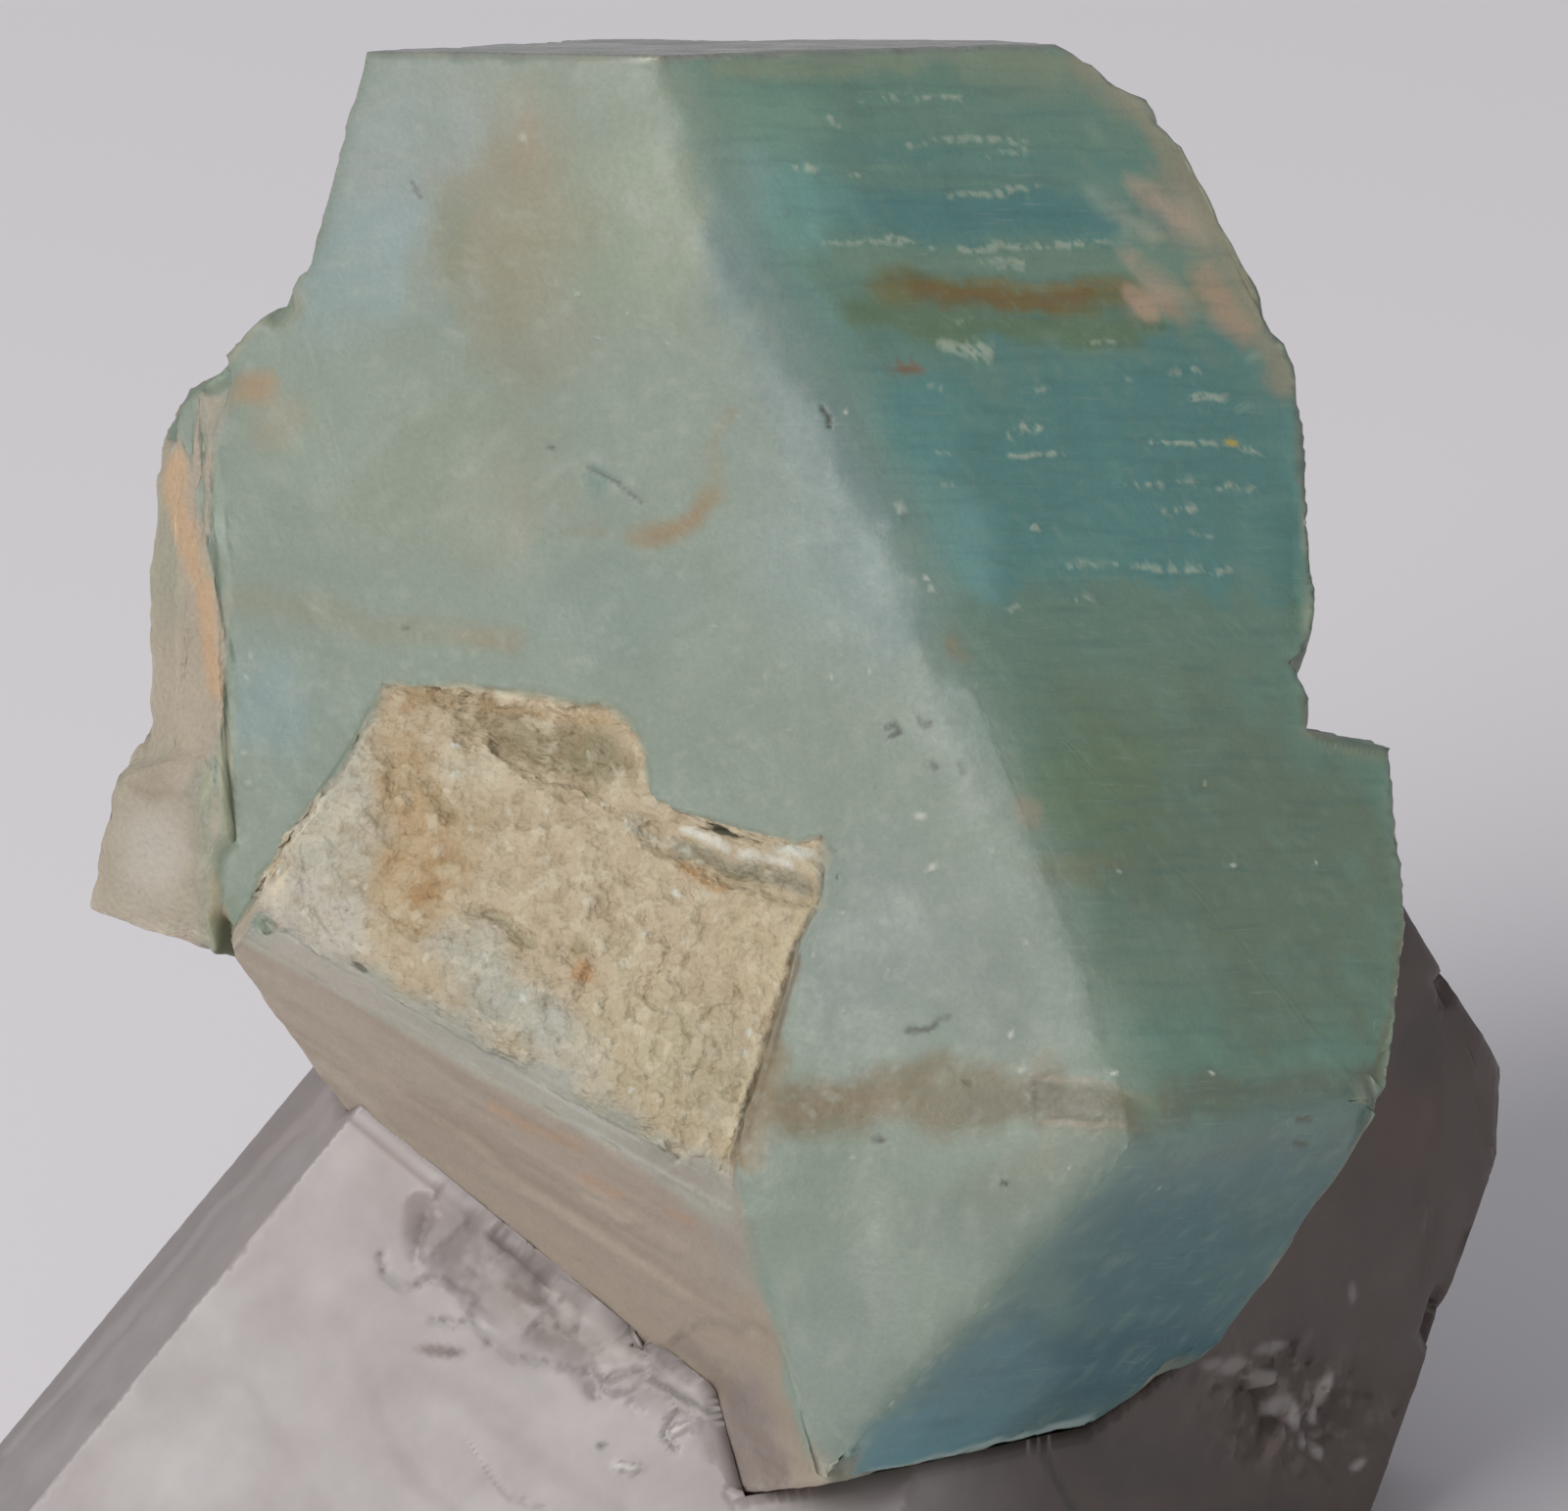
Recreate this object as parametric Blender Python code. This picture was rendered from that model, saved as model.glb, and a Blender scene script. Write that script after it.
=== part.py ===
"""Raw amazonite grown on smoky quartz. Metres, +Z up, standing on the quartz's flat cut base."""

import math

import bmesh
import bpy
from mathutils import Matrix, Vector, noise

# Units and stance
MM = 0.001
LEAN = math.radians(20.0)
BASE_DEPTH = 25.5
BASE_SPARE = 1.5
CONTACT_GAP = 0.3
# A cut merges no points nearer than this, in metres: loose for a grid, tight for a crystal
GRID_MERGE = 2e-5
CRYSTAL_MERGE = 1e-8
# How alike two planes are to be one face: the cosine between them, and millimetres
SAME_DIRECTION = 0.9995
SAME_LEVEL = 0.06
BLANK_SIDE = 160.0

# Every flat crystal face is named and given as (turn, rise, reach).
# Turn is degrees from facing the front, right is positive. Rise is degrees upwards.
# Reach is the distance in millimetres from the middle of the group to the face.
# Main crystal of the amazonite
FRONT = (-25.5, 3.0, 13.0)
UPPER_RIGHT = (52.5, 32.0, 14.7)
LOWER_RIGHT = (52.5, 23.0, 15.0)
UNDER_RIGHT = (59.5, -45.0, 22.55)
FAR_UPPER_RIGHT = (120.5, 17.5, 19.15)
MAIN_FACES = {
    "top": (0.0, 87.7, 21.9),
    "front": FRONT,
    "upper right": UPPER_RIGHT,
    "lower right": LOWER_RIGHT,
    "under right": UNDER_RIGHT,
    "top right corner": (121.0, 61.0, 24.35),
    "far upper right": FAR_UPPER_RIGHT,
    "far right": (107.5, -7.0, 17.25),
    "far right, lower": (107.5, -22.0, 17.4),
    "far right, bottom": (113.5, -15.0, 17.2),
    "under right edge": (121.0, -63.5, 20.55),
    "underside": (92.0, -79.0, 21.95),
    "seat": (172.0, -41.0, 15.3),
    "back": (178.0, 4.0, 12.6),
    "back left": (-136.0, 8.0, 17.4),
    "left": (-101.5, 0.0, 17.35),
    "left foot": (-104.0, -33.5, 15.4),
}
# The main crystal is cut back to the left of this face and below the under face.
LOWER_LEFT = (-65.0, -9.5, 9.6)
UNDER_LEFT = (-49.5, -35.0, 18.2)
# At the upper left the crystal is narrower above a sloping shoulder.
UPPER_LEFT = (-111.5, 15.0, 14.8)
LEFT_SHOULDER = (-114.0, 45.5, 18.25)
# Above the right shoulder the crystal is narrower.
ABOVE_SHOULDER = (107.5, -14.5, 13.35)
SHOULDER_LEDGE = (90.0, 78.5, 4.0)
# Below the stained band the front stands a little proud.
BAND_PROUD = 0.3
BAND_SLOPE = (-25.5, 11.0, 11.55)
BAND_ROOT = 2.0

# Block crystal at the lower left, with a rough broken front
ROUGH_FRONT = (-19.5, 19.5, 11.9)
BLOCK_FACES = {
    "rough front": ROUGH_FRONT,
    "pale strip": (-33.5, -8.0, 17.2),
    "under face": (-49.5, -35.0, 18.35),
    "end": (96.0, -21.5, 1.3),
    "left side": (-80.0, 30.5, 12.65),
    "lower left": (-104.0, -33.5, 15.5),
    "top side": (90.0, 63.4, -3.67),
    "buried back": (180.0, 0.0, 2.0),
}

# Thin crystal down the left side, in two lumps
UPPER_SLIVER_FACES = {
    "front": (-52.0, 3.0, 17.9),
    "outer": (-98.0, 2.0, 19.0),
    "top": (-60.0, 62.0, 17.0),
    "foot": (-100.0, -58.0, 10.6),
    "right side": (60.0, 5.0, -11.6),
    "back": (180.0, 0.0, 3.0),
}
LOWER_SLIVER_FACES = {
    "front": (-40.0, -3.0, 16.6),
    "outer": (-98.0, 17.0, 18.6),
    "foot": (-100.0, -73.0, 10.6),
    "tip": (-100.0, -30.0, 20.2),
    "top": (-60.0, 60.0, 9.5),
    "right side": (60.0, 0.0, -12.0),
    "back": (180.0, 0.0, 4.0),
}

# Smoky quartz
QUARTZ_FACES = {
    "front": (-9.5, 8.5, 8.25),
    "left bevel": (-70.0, 38.0, 5.2),
    "left": (-116.0, 38.0, 4.0),
    "broken left end": (-104.0, -22.0, 33.5),
    "right front": (51.5, -6.0, 13.2),
    "top": (30.0, 60.0, 0.5),
    "upper right": (110.5, 42.0, 11.2),
    "right": (100.0, 0.0, 23.4),
    "lower right": (100.0, -22.0, 26.35),
    "back right": (145.0, 12.0, 17.5),
    "back": (184.0, 18.0, 12.6),
    "back left": (-140.0, 26.0, 10.6),
}

# Lumps and finer grains of broken stone, as waves per millimetre, and the grains' share
LUMPS = 0.28
GRAINS = 0.95
GRAIN_SHARE = 0.7
# Relief of the broken faces: (grid pitch, height, how far the middle is sunk), in millimetres
ROUGH_FRONT_RELIEF = (1.1, 0.45, 0.0)
SLIVER_RELIEF = (1.3, 0.25, 0.0)
BROKEN_RELIEF = (2.4, 0.55, 0.35)

# Small chips in the crystal edges: (spot in millimetres, side, turn, rise, roll)
AMAZONITE_CHIPS = (
    ((16.3, -3.2, 2.6), 1.3, 80.0, 10.0, 20.0),
    ((16.6, -2.0, 1.5), 1.1, 60.0, -20.0, 50.0),
    ((18.3, -10.4, -10.1), 0.9, 75.0, 15.0, 10.0),
    ((10.3, 6.9, 21.2), 0.9, 100.0, 50.0, 35.0),
    ((11.9, 7.4, 19.6), 0.8, 90.0, 40.0, 15.0),
    ((15.2, 5.4, 13.5), 0.8, 110.0, 20.0, 60.0),
    ((-15.6, -6.1, 14.0), 1.0, -70.0, 40.0, 25.0),
    ((-17.6, -5.4, 11.7), 0.9, -60.0, 50.0, 65.0),
    ((14.6, -4.0, -17.7), 1.4, 100.0, -60.0, 30.0),
    ((11.9, -5.2, -19.4), 1.2, 80.0, -70.0, 10.0),
    ((-16.0, -9.2, -4.9), 0.9, -90.0, 10.0, 40.0),
    ((17.6, -9.0, -13.6), 1.0, 110.0, -20.0, 30.0),
    ((5.2, -16.7, 4.5), 0.45, 30.0, 10.0, 30.0),
    ((1.9, -16.5, -22.0), 0.9, 0.0, -60.0, 45.0),
)
QUARTZ_CHIPS = (
    ((-20.5, -4.0, -15.6), 1.4, -90.0, 30.0, 20.0),
    ((-17.8, -3.6, -12.6), 1.1, -70.0, 50.0, 50.0),
    ((22.6, 8.4, -14.2), 1.6, 90.0, -10.0, 30.0),
    ((20.8, 5.5, -7.2), 1.0, 100.0, 30.0, 10.0),
    ((20.6, 7.2, -17.6), 1.5, 100.0, -20.0, 60.0),
)


def direction(turn, rise):
    """Unit vector that a face with this turn and rise looks along."""
    flat = math.cos(math.radians(rise))
    return Vector(
        (
            math.sin(math.radians(turn)) * flat,
            -math.cos(math.radians(turn)) * flat,
            math.sin(math.radians(rise)),
        )
    )


def new_object(name, mesh, collection):
    obj = bpy.data.objects.new(name, mesh)
    collection.objects.link(obj)
    return obj


def new_cutter(name, faces, grow=0.0):
    """A crystal shape in the cutters' collection, out of the render."""
    obj = crystal(name, faces, cutters, grow)
    obj.hide_render = True
    obj.display_type = "WIRE"
    return obj


def crystal(name, faces, collection, grow=0.0):
    """A blank block of stone cut down to the given flat faces."""
    bm = bmesh.new()
    bmesh.ops.create_cube(bm, size=BLANK_SIDE * MM)
    for turn, rise, reach in faces.values():
        normal = direction(turn, rise)
        cut = bmesh.ops.bisect_plane(
            bm,
            geom=bm.verts[:] + bm.edges[:] + bm.faces[:],
            dist=CRYSTAL_MERGE,
            plane_co=normal * (reach + grow) * MM,
            plane_no=normal,
            clear_outer=True,
        )
        rim = [item for item in cut["geom_cut"] if isinstance(item, bmesh.types.BMEdge)]
        if rim:
            bmesh.ops.edgeloop_fill(bm, edges=rim)
    bmesh.ops.recalc_face_normals(bm, faces=bm.faces[:])
    mesh = bpy.data.meshes.new(name)
    bm.to_mesh(mesh)
    bm.free()
    return new_object(name, mesh, collection)


def opposite(face, shift=0.0):
    """The same plane seen from its other side, moved outwards by shift."""
    turn, rise, reach = face
    return (turn + 180.0, -rise, -(reach + shift))


def combine(target, other, operation):
    """Boolean of two solids, kept in the target."""
    modifier = target.modifiers.new(operation.title(), "BOOLEAN")
    modifier.operation = operation
    modifier.solver = "EXACT"
    modifier.object = other
    bpy.context.view_layer.update()
    graph = bpy.context.evaluated_depsgraph_get()
    result = bpy.data.meshes.new_from_object(target.evaluated_get(graph))
    target.modifiers.clear()
    target.data = result


def absorb(target, other):
    """Joins another crystal into the target and removes the loose copy."""
    combine(target, other, "UNION")
    bpy.data.objects.remove(other)


def on_face(item, face):
    turn, rise, reach = face
    normal = direction(turn, rise)
    level = item.calc_center_median().dot(normal) / MM
    return item.normal.dot(normal) > SAME_DIRECTION and abs(level - reach) < SAME_LEVEL


def grid_face(bm, face, pitch):
    """Cuts one flat face into a triangular grid."""
    normal = direction(face[0], face[1])
    across = normal.orthogonal().normalized()
    for family in range(3):
        line = Matrix.Rotation(math.radians(60.0 * family), 3, normal) @ across
        picked = [f for f in bm.faces if on_face(f, face)]
        spans = [v.co.dot(line) / MM for f in picked for v in f.verts]
        step = math.ceil(min(spans) / pitch)
        while step * pitch < max(spans):
            picked = [f for f in bm.faces if on_face(f, face)]
            geom = set(picked)
            geom.update(e for f in picked for e in f.edges)
            geom.update(v for f in picked for v in f.verts)
            bmesh.ops.bisect_plane(
                bm,
                geom=list(geom),
                dist=GRID_MERGE,
                plane_co=line * step * pitch * MM,
                plane_no=line,
            )
            step += 1
    return [f for f in bm.faces if on_face(f, face)]


def raise_unevenly(verts, face, relief, seed):
    """Moves the points of a face in and out, as broken stone lies."""
    pitch, height, sunk = relief
    normal = direction(face[0], face[1])
    for vert in verts:
        spot = vert.co / MM
        lump = noise.noise(spot * LUMPS + Vector((seed, 0.0, 0.0)))
        grain = noise.noise(spot * GRAINS + Vector((0.0, seed, 0.0)))
        vert.co += normal * ((lump + GRAIN_SHARE * grain) * height - sunk) * MM


def roughen(obj, rough_faces):
    """Gives each (face, relief, seed) its broken surface."""
    bm = bmesh.new()
    bm.from_mesh(obj.data)
    for face, relief, seed in rough_faces:
        bmesh.ops.triangulate(bm, faces=grid_face(bm, face, relief[0]))
    moves = []
    for face, relief, seed in rough_faces:
        picked = [f for f in bm.faces if on_face(f, face)]
        moves.append(({v for f in picked for v in f.verts}, face, relief, seed))
    for verts, face, relief, seed in moves:
        raise_unevenly(verts, face, relief, seed)
    bm.to_mesh(obj.data)
    bm.free()


def chip(obj, spot, size, turn, rise, roll):
    """Takes a small angular chip out of an edge."""
    bm = bmesh.new()
    bmesh.ops.create_cube(bm, size=size * MM)
    mesh = bpy.data.meshes.new("chip")
    bm.to_mesh(mesh)
    bm.free()
    cutter = new_object("chip", mesh, cutters)
    cutter.hide_render = True
    cutter.display_type = "WIRE"
    aim = direction(turn, rise).to_track_quat("Z", "Y").to_matrix().to_4x4()
    spin = Matrix.Rotation(math.radians(roll), 4, "Z")
    cutter.matrix_world = Matrix.Translation(Vector(spot) * MM) @ aim @ spin
    combine(obj, cutter, "DIFFERENCE")


def amazonite_body(name, collection, grow=0.0):
    """The crystals that make up the amazonite, joined."""
    body = crystal(name, MAIN_FACES, collection, grow)
    under = new_cutter(
        "cut under left",
        {
            "a": opposite(LOWER_LEFT, grow),
            "b": opposite(UNDER_LEFT, grow),
        },
    )
    combine(body, under, "DIFFERENCE")
    upper = new_cutter(
        "cut above left shoulder",
        {
            "a": opposite(UPPER_LEFT, grow),
            "b": opposite(LEFT_SHOULDER, grow),
        },
    )
    combine(body, upper, "DIFFERENCE")
    shoulder = new_cutter(
        "cut above right shoulder",
        {
            "a": opposite(ABOVE_SHOULDER, grow),
            "b": opposite(SHOULDER_LEDGE, grow),
        },
    )
    combine(body, shoulder, "DIFFERENCE")
    if grow == 0.0:
        ledge = new_cutter("cut ledge over block", LEDGE_CUT)
        combine(body, ledge, "DIFFERENCE")
    absorb(body, crystal("block", BLOCK_FACES, collection, grow))
    absorb(body, crystal("upper sliver", UPPER_SLIVER_FACES, collection, grow))
    absorb(body, crystal("lower sliver", LOWER_SLIVER_FACES, collection, grow))
    absorb(body, crystal("band step", band_faces(), collection, grow))
    return body


def band_faces():
    """The part of the front below the stained band, a little proud of the rest."""
    turn, rise, reach = FRONT
    return {
        "front": (turn, rise, reach + BAND_PROUD),
        "slope": BAND_SLOPE,
        "lower right": LOWER_RIGHT,
        "under right": UNDER_RIGHT,
        "underside": MAIN_FACES["underside"],
        "lower left": LOWER_LEFT,
        "buried back": opposite(FRONT, -BAND_ROOT),
        "buried top": (0.0, 90.0, -8.0),
    }


# Recess in the main crystal along the upper edge of the block
LEDGE_CUT = {
    "floor": opposite((-15.6, 19.9, 11.16)),
    "upper": (90.0, 82.3, 0.33),
    "right": (90.0, 10.9, -5.02),
    "left": (-90.0, 0.0, 12.3),
    "lower": (0.0, -90.0, 5.0),
}
# Open crack between the block's upper right edge and the main crystal
CRACK_CUT = {
    "floor": opposite((-19.5, 19.5, 11.0)),
    "upper": (90.0, 75.4, -2.61),
    "lower": (-90.0, -56.5, 4.5),
    "bottom": (-90.0, -85.0, 4.34),
    "right": (90.0, -34.8, 3.0),
    "left": (-90.0, 0.0, 5.0),
}


def make_amazonite():
    body = amazonite_body("amazonite", parts)
    combine(body, new_cutter("cut crack", CRACK_CUT), "DIFFERENCE")
    for spot, side, turn, rise, roll in AMAZONITE_CHIPS:
        chip(body, spot, side, turn, rise, roll)
    rough_faces = (
        (ROUGH_FRONT, ROUGH_FRONT_RELIEF, 3.0),
        (UPPER_SLIVER_FACES["front"], SLIVER_RELIEF, 7.0),
        (LOWER_SLIVER_FACES["front"], SLIVER_RELIEF, 11.0),
        (MAIN_FACES["back"], BROKEN_RELIEF, 17.0),
        (MAIN_FACES["back left"], BROKEN_RELIEF, 23.0),
    )
    roughen(body, rough_faces)
    return body


def make_quartz():
    base = (180.0, math.degrees(LEAN) - 90.0, BASE_DEPTH)
    faces = dict(QUARTZ_FACES)
    faces["rough base"] = (base[0], base[1], BASE_DEPTH + BASE_SPARE)
    body = crystal("smoky_quartz", faces, parts)
    seat = amazonite_body("amazonite seat", cutters, CONTACT_GAP)
    seat.hide_render = True
    seat.display_type = "WIRE"
    combine(body, seat, "DIFFERENCE")
    for spot, side, turn, rise, roll in QUARTZ_CHIPS:
        chip(body, spot, side, turn, rise, roll)
    rough_faces = (
        (QUARTZ_FACES["broken left end"], BROKEN_RELIEF, 29.0),
        (QUARTZ_FACES["back"], BROKEN_RELIEF, 31.0),
        (QUARTZ_FACES["back right"], BROKEN_RELIEF, 37.0),
    )
    roughen(body, rough_faces)
    combine(body, new_cutter("cut base flat", {"base": opposite(base)}), "DIFFERENCE")
    return body


def stone(name, colour, roughness, transmission):
    material = bpy.data.materials.new(name)
    material.use_nodes = True
    shader = material.node_tree.nodes["Principled BSDF"]
    shader.inputs["Base Color"].default_value = colour
    shader.inputs["Roughness"].default_value = roughness
    shader.inputs["Transmission Weight"].default_value = transmission
    material.diffuse_color = colour
    return material


def stand(objects):
    """Leans the group back onto its base and centres it over the origin."""
    lean = Matrix.Rotation(-LEAN, 4, "X")
    for obj in objects:
        obj.data.transform(lean)
    corners = [vert.co for obj in objects for vert in obj.data.vertices]
    middle_x = (min(c.x for c in corners) + max(c.x for c in corners)) / 2
    middle_y = (min(c.y for c in corners) + max(c.y for c in corners)) / 2
    drop = Vector((-middle_x, -middle_y, BASE_DEPTH * MM))
    for obj in objects:
        obj.data.transform(Matrix.Translation(drop))
    return drop


for old in list(bpy.data.objects):
    bpy.data.objects.remove(old)
parts = bpy.data.collections.new("raw amazonite")
cutters = bpy.data.collections.new("cutters")
bpy.context.scene.collection.children.link(parts)
bpy.context.scene.collection.children.link(cutters)
cutters.hide_render = True
amazonite = make_amazonite()
quartz = make_quartz()
placed = stand([amazonite, quartz])
amazonite.data.materials.clear()
amazonite.data.materials.append(stone("amazonite", (0.30, 0.46, 0.40, 1.0), 0.45, 0.0))
quartz.data.materials.clear()
quartz.data.materials.append(stone("smoky quartz", (0.45, 0.40, 0.39, 1.0), 0.15, 0.6))
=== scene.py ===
import math

import bpy
import numpy as np
from mathutils import Matrix, Vector
from mathutils.bvhtree import BVHTree


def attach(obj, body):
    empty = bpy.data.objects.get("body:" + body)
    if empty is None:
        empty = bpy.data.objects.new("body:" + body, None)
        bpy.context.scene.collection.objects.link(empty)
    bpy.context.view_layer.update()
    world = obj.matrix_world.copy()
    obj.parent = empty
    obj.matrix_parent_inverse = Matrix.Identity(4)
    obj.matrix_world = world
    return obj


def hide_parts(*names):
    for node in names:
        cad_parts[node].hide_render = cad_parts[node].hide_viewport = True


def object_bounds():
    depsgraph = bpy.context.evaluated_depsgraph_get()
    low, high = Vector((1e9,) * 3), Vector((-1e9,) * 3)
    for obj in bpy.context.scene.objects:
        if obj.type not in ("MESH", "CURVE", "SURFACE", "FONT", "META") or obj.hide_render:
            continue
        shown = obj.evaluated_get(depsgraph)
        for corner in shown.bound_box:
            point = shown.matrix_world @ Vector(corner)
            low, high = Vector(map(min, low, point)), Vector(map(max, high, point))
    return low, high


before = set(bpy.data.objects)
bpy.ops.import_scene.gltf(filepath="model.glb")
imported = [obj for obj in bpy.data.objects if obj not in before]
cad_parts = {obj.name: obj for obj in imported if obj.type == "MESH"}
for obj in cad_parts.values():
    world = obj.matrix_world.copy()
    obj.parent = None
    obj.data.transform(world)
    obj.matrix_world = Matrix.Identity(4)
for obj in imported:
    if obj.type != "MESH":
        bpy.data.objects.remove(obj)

CAD_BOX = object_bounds()

# Front view frame: x right, y away from the viewer, z up, in millimetres
MM = 0.001
LEAN = math.radians(20.0)
PLACED = np.array((2.47126, 2.74323, 25.5))
PIXEL = 0.03

# Crystal faces, as in the part's source: (turn, rise, reach)
FACES = {
    "front": (-25.5, 3.0, 13.0),
    "front low": (-25.5, 3.0, 13.3),
    "band": (-25.5, 11.0, 11.55),
    "right": (52.5, 32.0, 14.7),
    "lower right": (52.5, 23.0, 15.0),
    "under right": (59.5, -45.0, 22.55),
    "top": (0.0, 87.7, 21.9),
    "strip": (-33.5, -8.0, 17.2),
    "under": (-49.5, -35.0, 18.35),
    "under hull": (-49.5, -35.0, 18.2),
    "low left": (-65.0, -9.5, 9.6),
    "rough": (-19.5, 19.5, 11.9),
    "sliver": (-52.0, 3.0, 17.9),
    "low sliver": (-40.0, -3.0, 16.6),
}
MAIN_FACES = ("front", "right", "lower right", "under right")
BLOCK_FACES = ("rough", "strip", "under")
# The block at the left is nearer to the viewer than this
BLOCK_Y = -9.0

# The lamp (metres, watts), the sky, and how much the floor throws back
KEY_PLACE = (-0.46, -0.58, 0.54)
KEY_WATTS = 6.6
SKY = 0.34
FLOOR_GLOW = 0.5
# Brings daylight to about 1 on the front face, and softens its edge of shadow
EXPOSURE = 0.385
SHADOW_EDGE = 0.05


def direction(turn, rise):
    turn, rise = math.radians(turn), math.radians(rise)
    flat = math.cos(rise)
    return np.array((math.sin(turn) * flat, -math.cos(turn) * flat, math.sin(rise)))


LEAN_MATRIX = np.array(
    (
        (1.0, 0.0, 0.0),
        (0.0, math.cos(LEAN), math.sin(LEAN)),
        (0.0, -math.sin(LEAN), math.cos(LEAN)),
    )
)


def to_front(world):
    """Row frame, metres, to the front view frame, millimetres."""
    return (np.asarray(world) / MM - PLACED) @ LEAN_MATRIX


def to_world(front):
    return (np.asarray(front) @ LEAN_MATRIX.T + PLACED) * MM


def daylight(n):
    """About how strongly a surface facing n (front view) is lit."""
    way = np.array(KEY_PLACE) - to_world((0.0, 0.0, 0.0))
    distance = np.linalg.norm(way)
    facing = n @ ((way / distance) @ LEAN_MATRIX)
    up = n @ LEAN_MATRIX[2]
    key = KEY_WATTS / (math.pi * distance**2) * 0.5 * (facing + np.sqrt(facing**2 + SHADOW_EDGE))
    around = SKY * (1.0 + up) + FLOOR_GLOW * (1.0 - up)
    return EXPOSURE * (key + 0.5 * math.pi * around)


def at(u, v):
    """A place in the picture as front view millimetres (x, z)."""
    return ((u - 800.0) * PIXEL, (771.0 - v) * PIXEL)


def spots(points):
    """The places (u, v) of a line or outline, which is kept as u, v, u, v and so on."""
    return list(zip(points[::2], points[1::2]))


# Noise


def smooth(low, high, x):
    t = np.clip((x - low) / (high - low), 0.0, 1.0)
    return t * t * (3.0 - 2.0 * t)


TABLE = np.random.default_rng(7).uniform(-1.0, 1.0, 65536)


def lattice(ix, iy, iz, seed):
    return TABLE[(ix * 20731 + iy * 43717 + iz * 9241 + seed * 3571) & 65535]


def noise(p, scale, seed=0):
    """Smooth noise from -1 to 1 at each point."""
    q = p / scale
    cell = np.floor(q).astype(np.int64)
    f = q - cell
    f = f * f * (3.0 - 2.0 * f)
    total = np.zeros(len(p))
    for dx in (0, 1):
        wx = f[:, 0] if dx else 1.0 - f[:, 0]
        for dy in (0, 1):
            wy = f[:, 1] if dy else 1.0 - f[:, 1]
            for dz in (0, 1):
                wz = f[:, 2] if dz else 1.0 - f[:, 2]
                value = lattice(cell[:, 0] + dx, cell[:, 1] + dy, cell[:, 2] + dz, seed)
                total += wx * wy * wz * value
    return total


def fbm(p, scale, seed=0, octaves=4):
    total = np.zeros(len(p))
    size = 1.0
    for octave in range(octaves):
        total += noise(p + 7.3 * octave, scale * size, seed + octave) * size
        size *= 0.5
    return total


def facets(p, size, seed, tilt=0.6):
    """Flat tilted chips: each point's height on its chip, and a number from -1 to 1 for it."""
    q = p / size
    cell = np.floor(q).astype(np.int64)
    best = np.full(len(p), 1e9)
    height, tone = np.zeros(len(p)), np.zeros(len(p))
    for step in np.ndindex(3, 3, 3):
        c = cell + np.array(step) - 1
        draws = [lattice(c[:, 0], c[:, 1], c[:, 2], seed + k) for k in range(7)]
        off = q - (c + 0.5 + 0.4 * np.stack(draws[:3], axis=1))
        distance = (off**2).sum(axis=1)
        near = distance < best
        best = np.where(near, distance, best)
        own = (off * np.stack(draws[3:6], axis=1)).sum(axis=1) * tilt + 0.3 * draws[6]
        height, tone = np.where(near, own, height), np.where(near, draws[6], tone)
    return height * size, tone


# Mesh work


def node_arrays(name):
    """A CAD node's welded points (front view frame) and triangles."""
    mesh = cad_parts[name].data
    co = np.empty(len(mesh.vertices) * 3)
    mesh.vertices.foreach_get("co", co)
    mesh.calc_loop_triangles()
    tri = np.empty(len(mesh.loop_triangles) * 3, np.int64)
    mesh.loop_triangles.foreach_get("vertices", tri)
    co = to_front(co.reshape(-1, 3))
    _, first, index = np.unique(np.round(co, 3), axis=0, return_index=True, return_inverse=True)
    tri = index.reshape(-1)[tri.reshape(-1, 3)]
    co = co[first]
    whole = (tri[:, 0] != tri[:, 1]) & (tri[:, 1] != tri[:, 2]) & (tri[:, 0] != tri[:, 2])
    return co, tri[whole]


def unit(n):
    return n / np.maximum(np.linalg.norm(n, axis=1, keepdims=True), 1e-12)


def crosses(co, tri):
    """Each triangle's normal, as long as twice its area."""
    a, b, c = co[tri[:, 0]], co[tri[:, 1]], co[tri[:, 2]]
    return np.cross(b - a, c - a)


def summed(index, values, count):
    """Adds rows of values up by index."""
    if values.ndim == 1:
        return np.bincount(index, values, count)
    return np.stack([np.bincount(index, column, count) for column in values.T], axis=1)


def vertex_normals(co, tri):
    return unit(summed(tri.T.reshape(-1), np.tile(crosses(co, tri), (3, 1)), len(co)))


def edges_of(tri):
    """Unique edges, and each triangle's three edges: ab, bc, ca."""
    ends = np.concatenate([tri[:, [0, 1]], tri[:, [1, 2]], tri[:, [2, 0]]])
    ends.sort(axis=1)
    many = tri.max() + 1
    keys, inverse = np.unique(ends[:, 0] * many + ends[:, 1], return_inverse=True)
    return np.stack([keys // many, keys % many], axis=1), inverse.reshape(3, -1).T


def neighbour_mean(edges, value):
    """Mean of each point's neighbours over the edges."""
    index = np.concatenate([edges[:, 0], edges[:, 1]])
    across = np.concatenate([edges[:, 1], edges[:, 0]])
    total = summed(index, value[across], len(value))
    count = np.maximum(np.bincount(index, minlength=len(value)), 1)
    return total / (count[:, None] if value.ndim > 1 else count)


SHARP = math.radians(14.0)


def sharp_edges(co, tri, edges, tri_edges):
    n = unit(crosses(co, tri))
    total = summed(tri_edges.T.reshape(-1), np.tile(n, (3, 1)), len(edges))
    # Two unit normals at angle t add up to length 2 cos(t / 2)
    return np.linalg.norm(total, axis=1) < 2.0 * math.cos(SHARP / 2.0)


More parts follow.
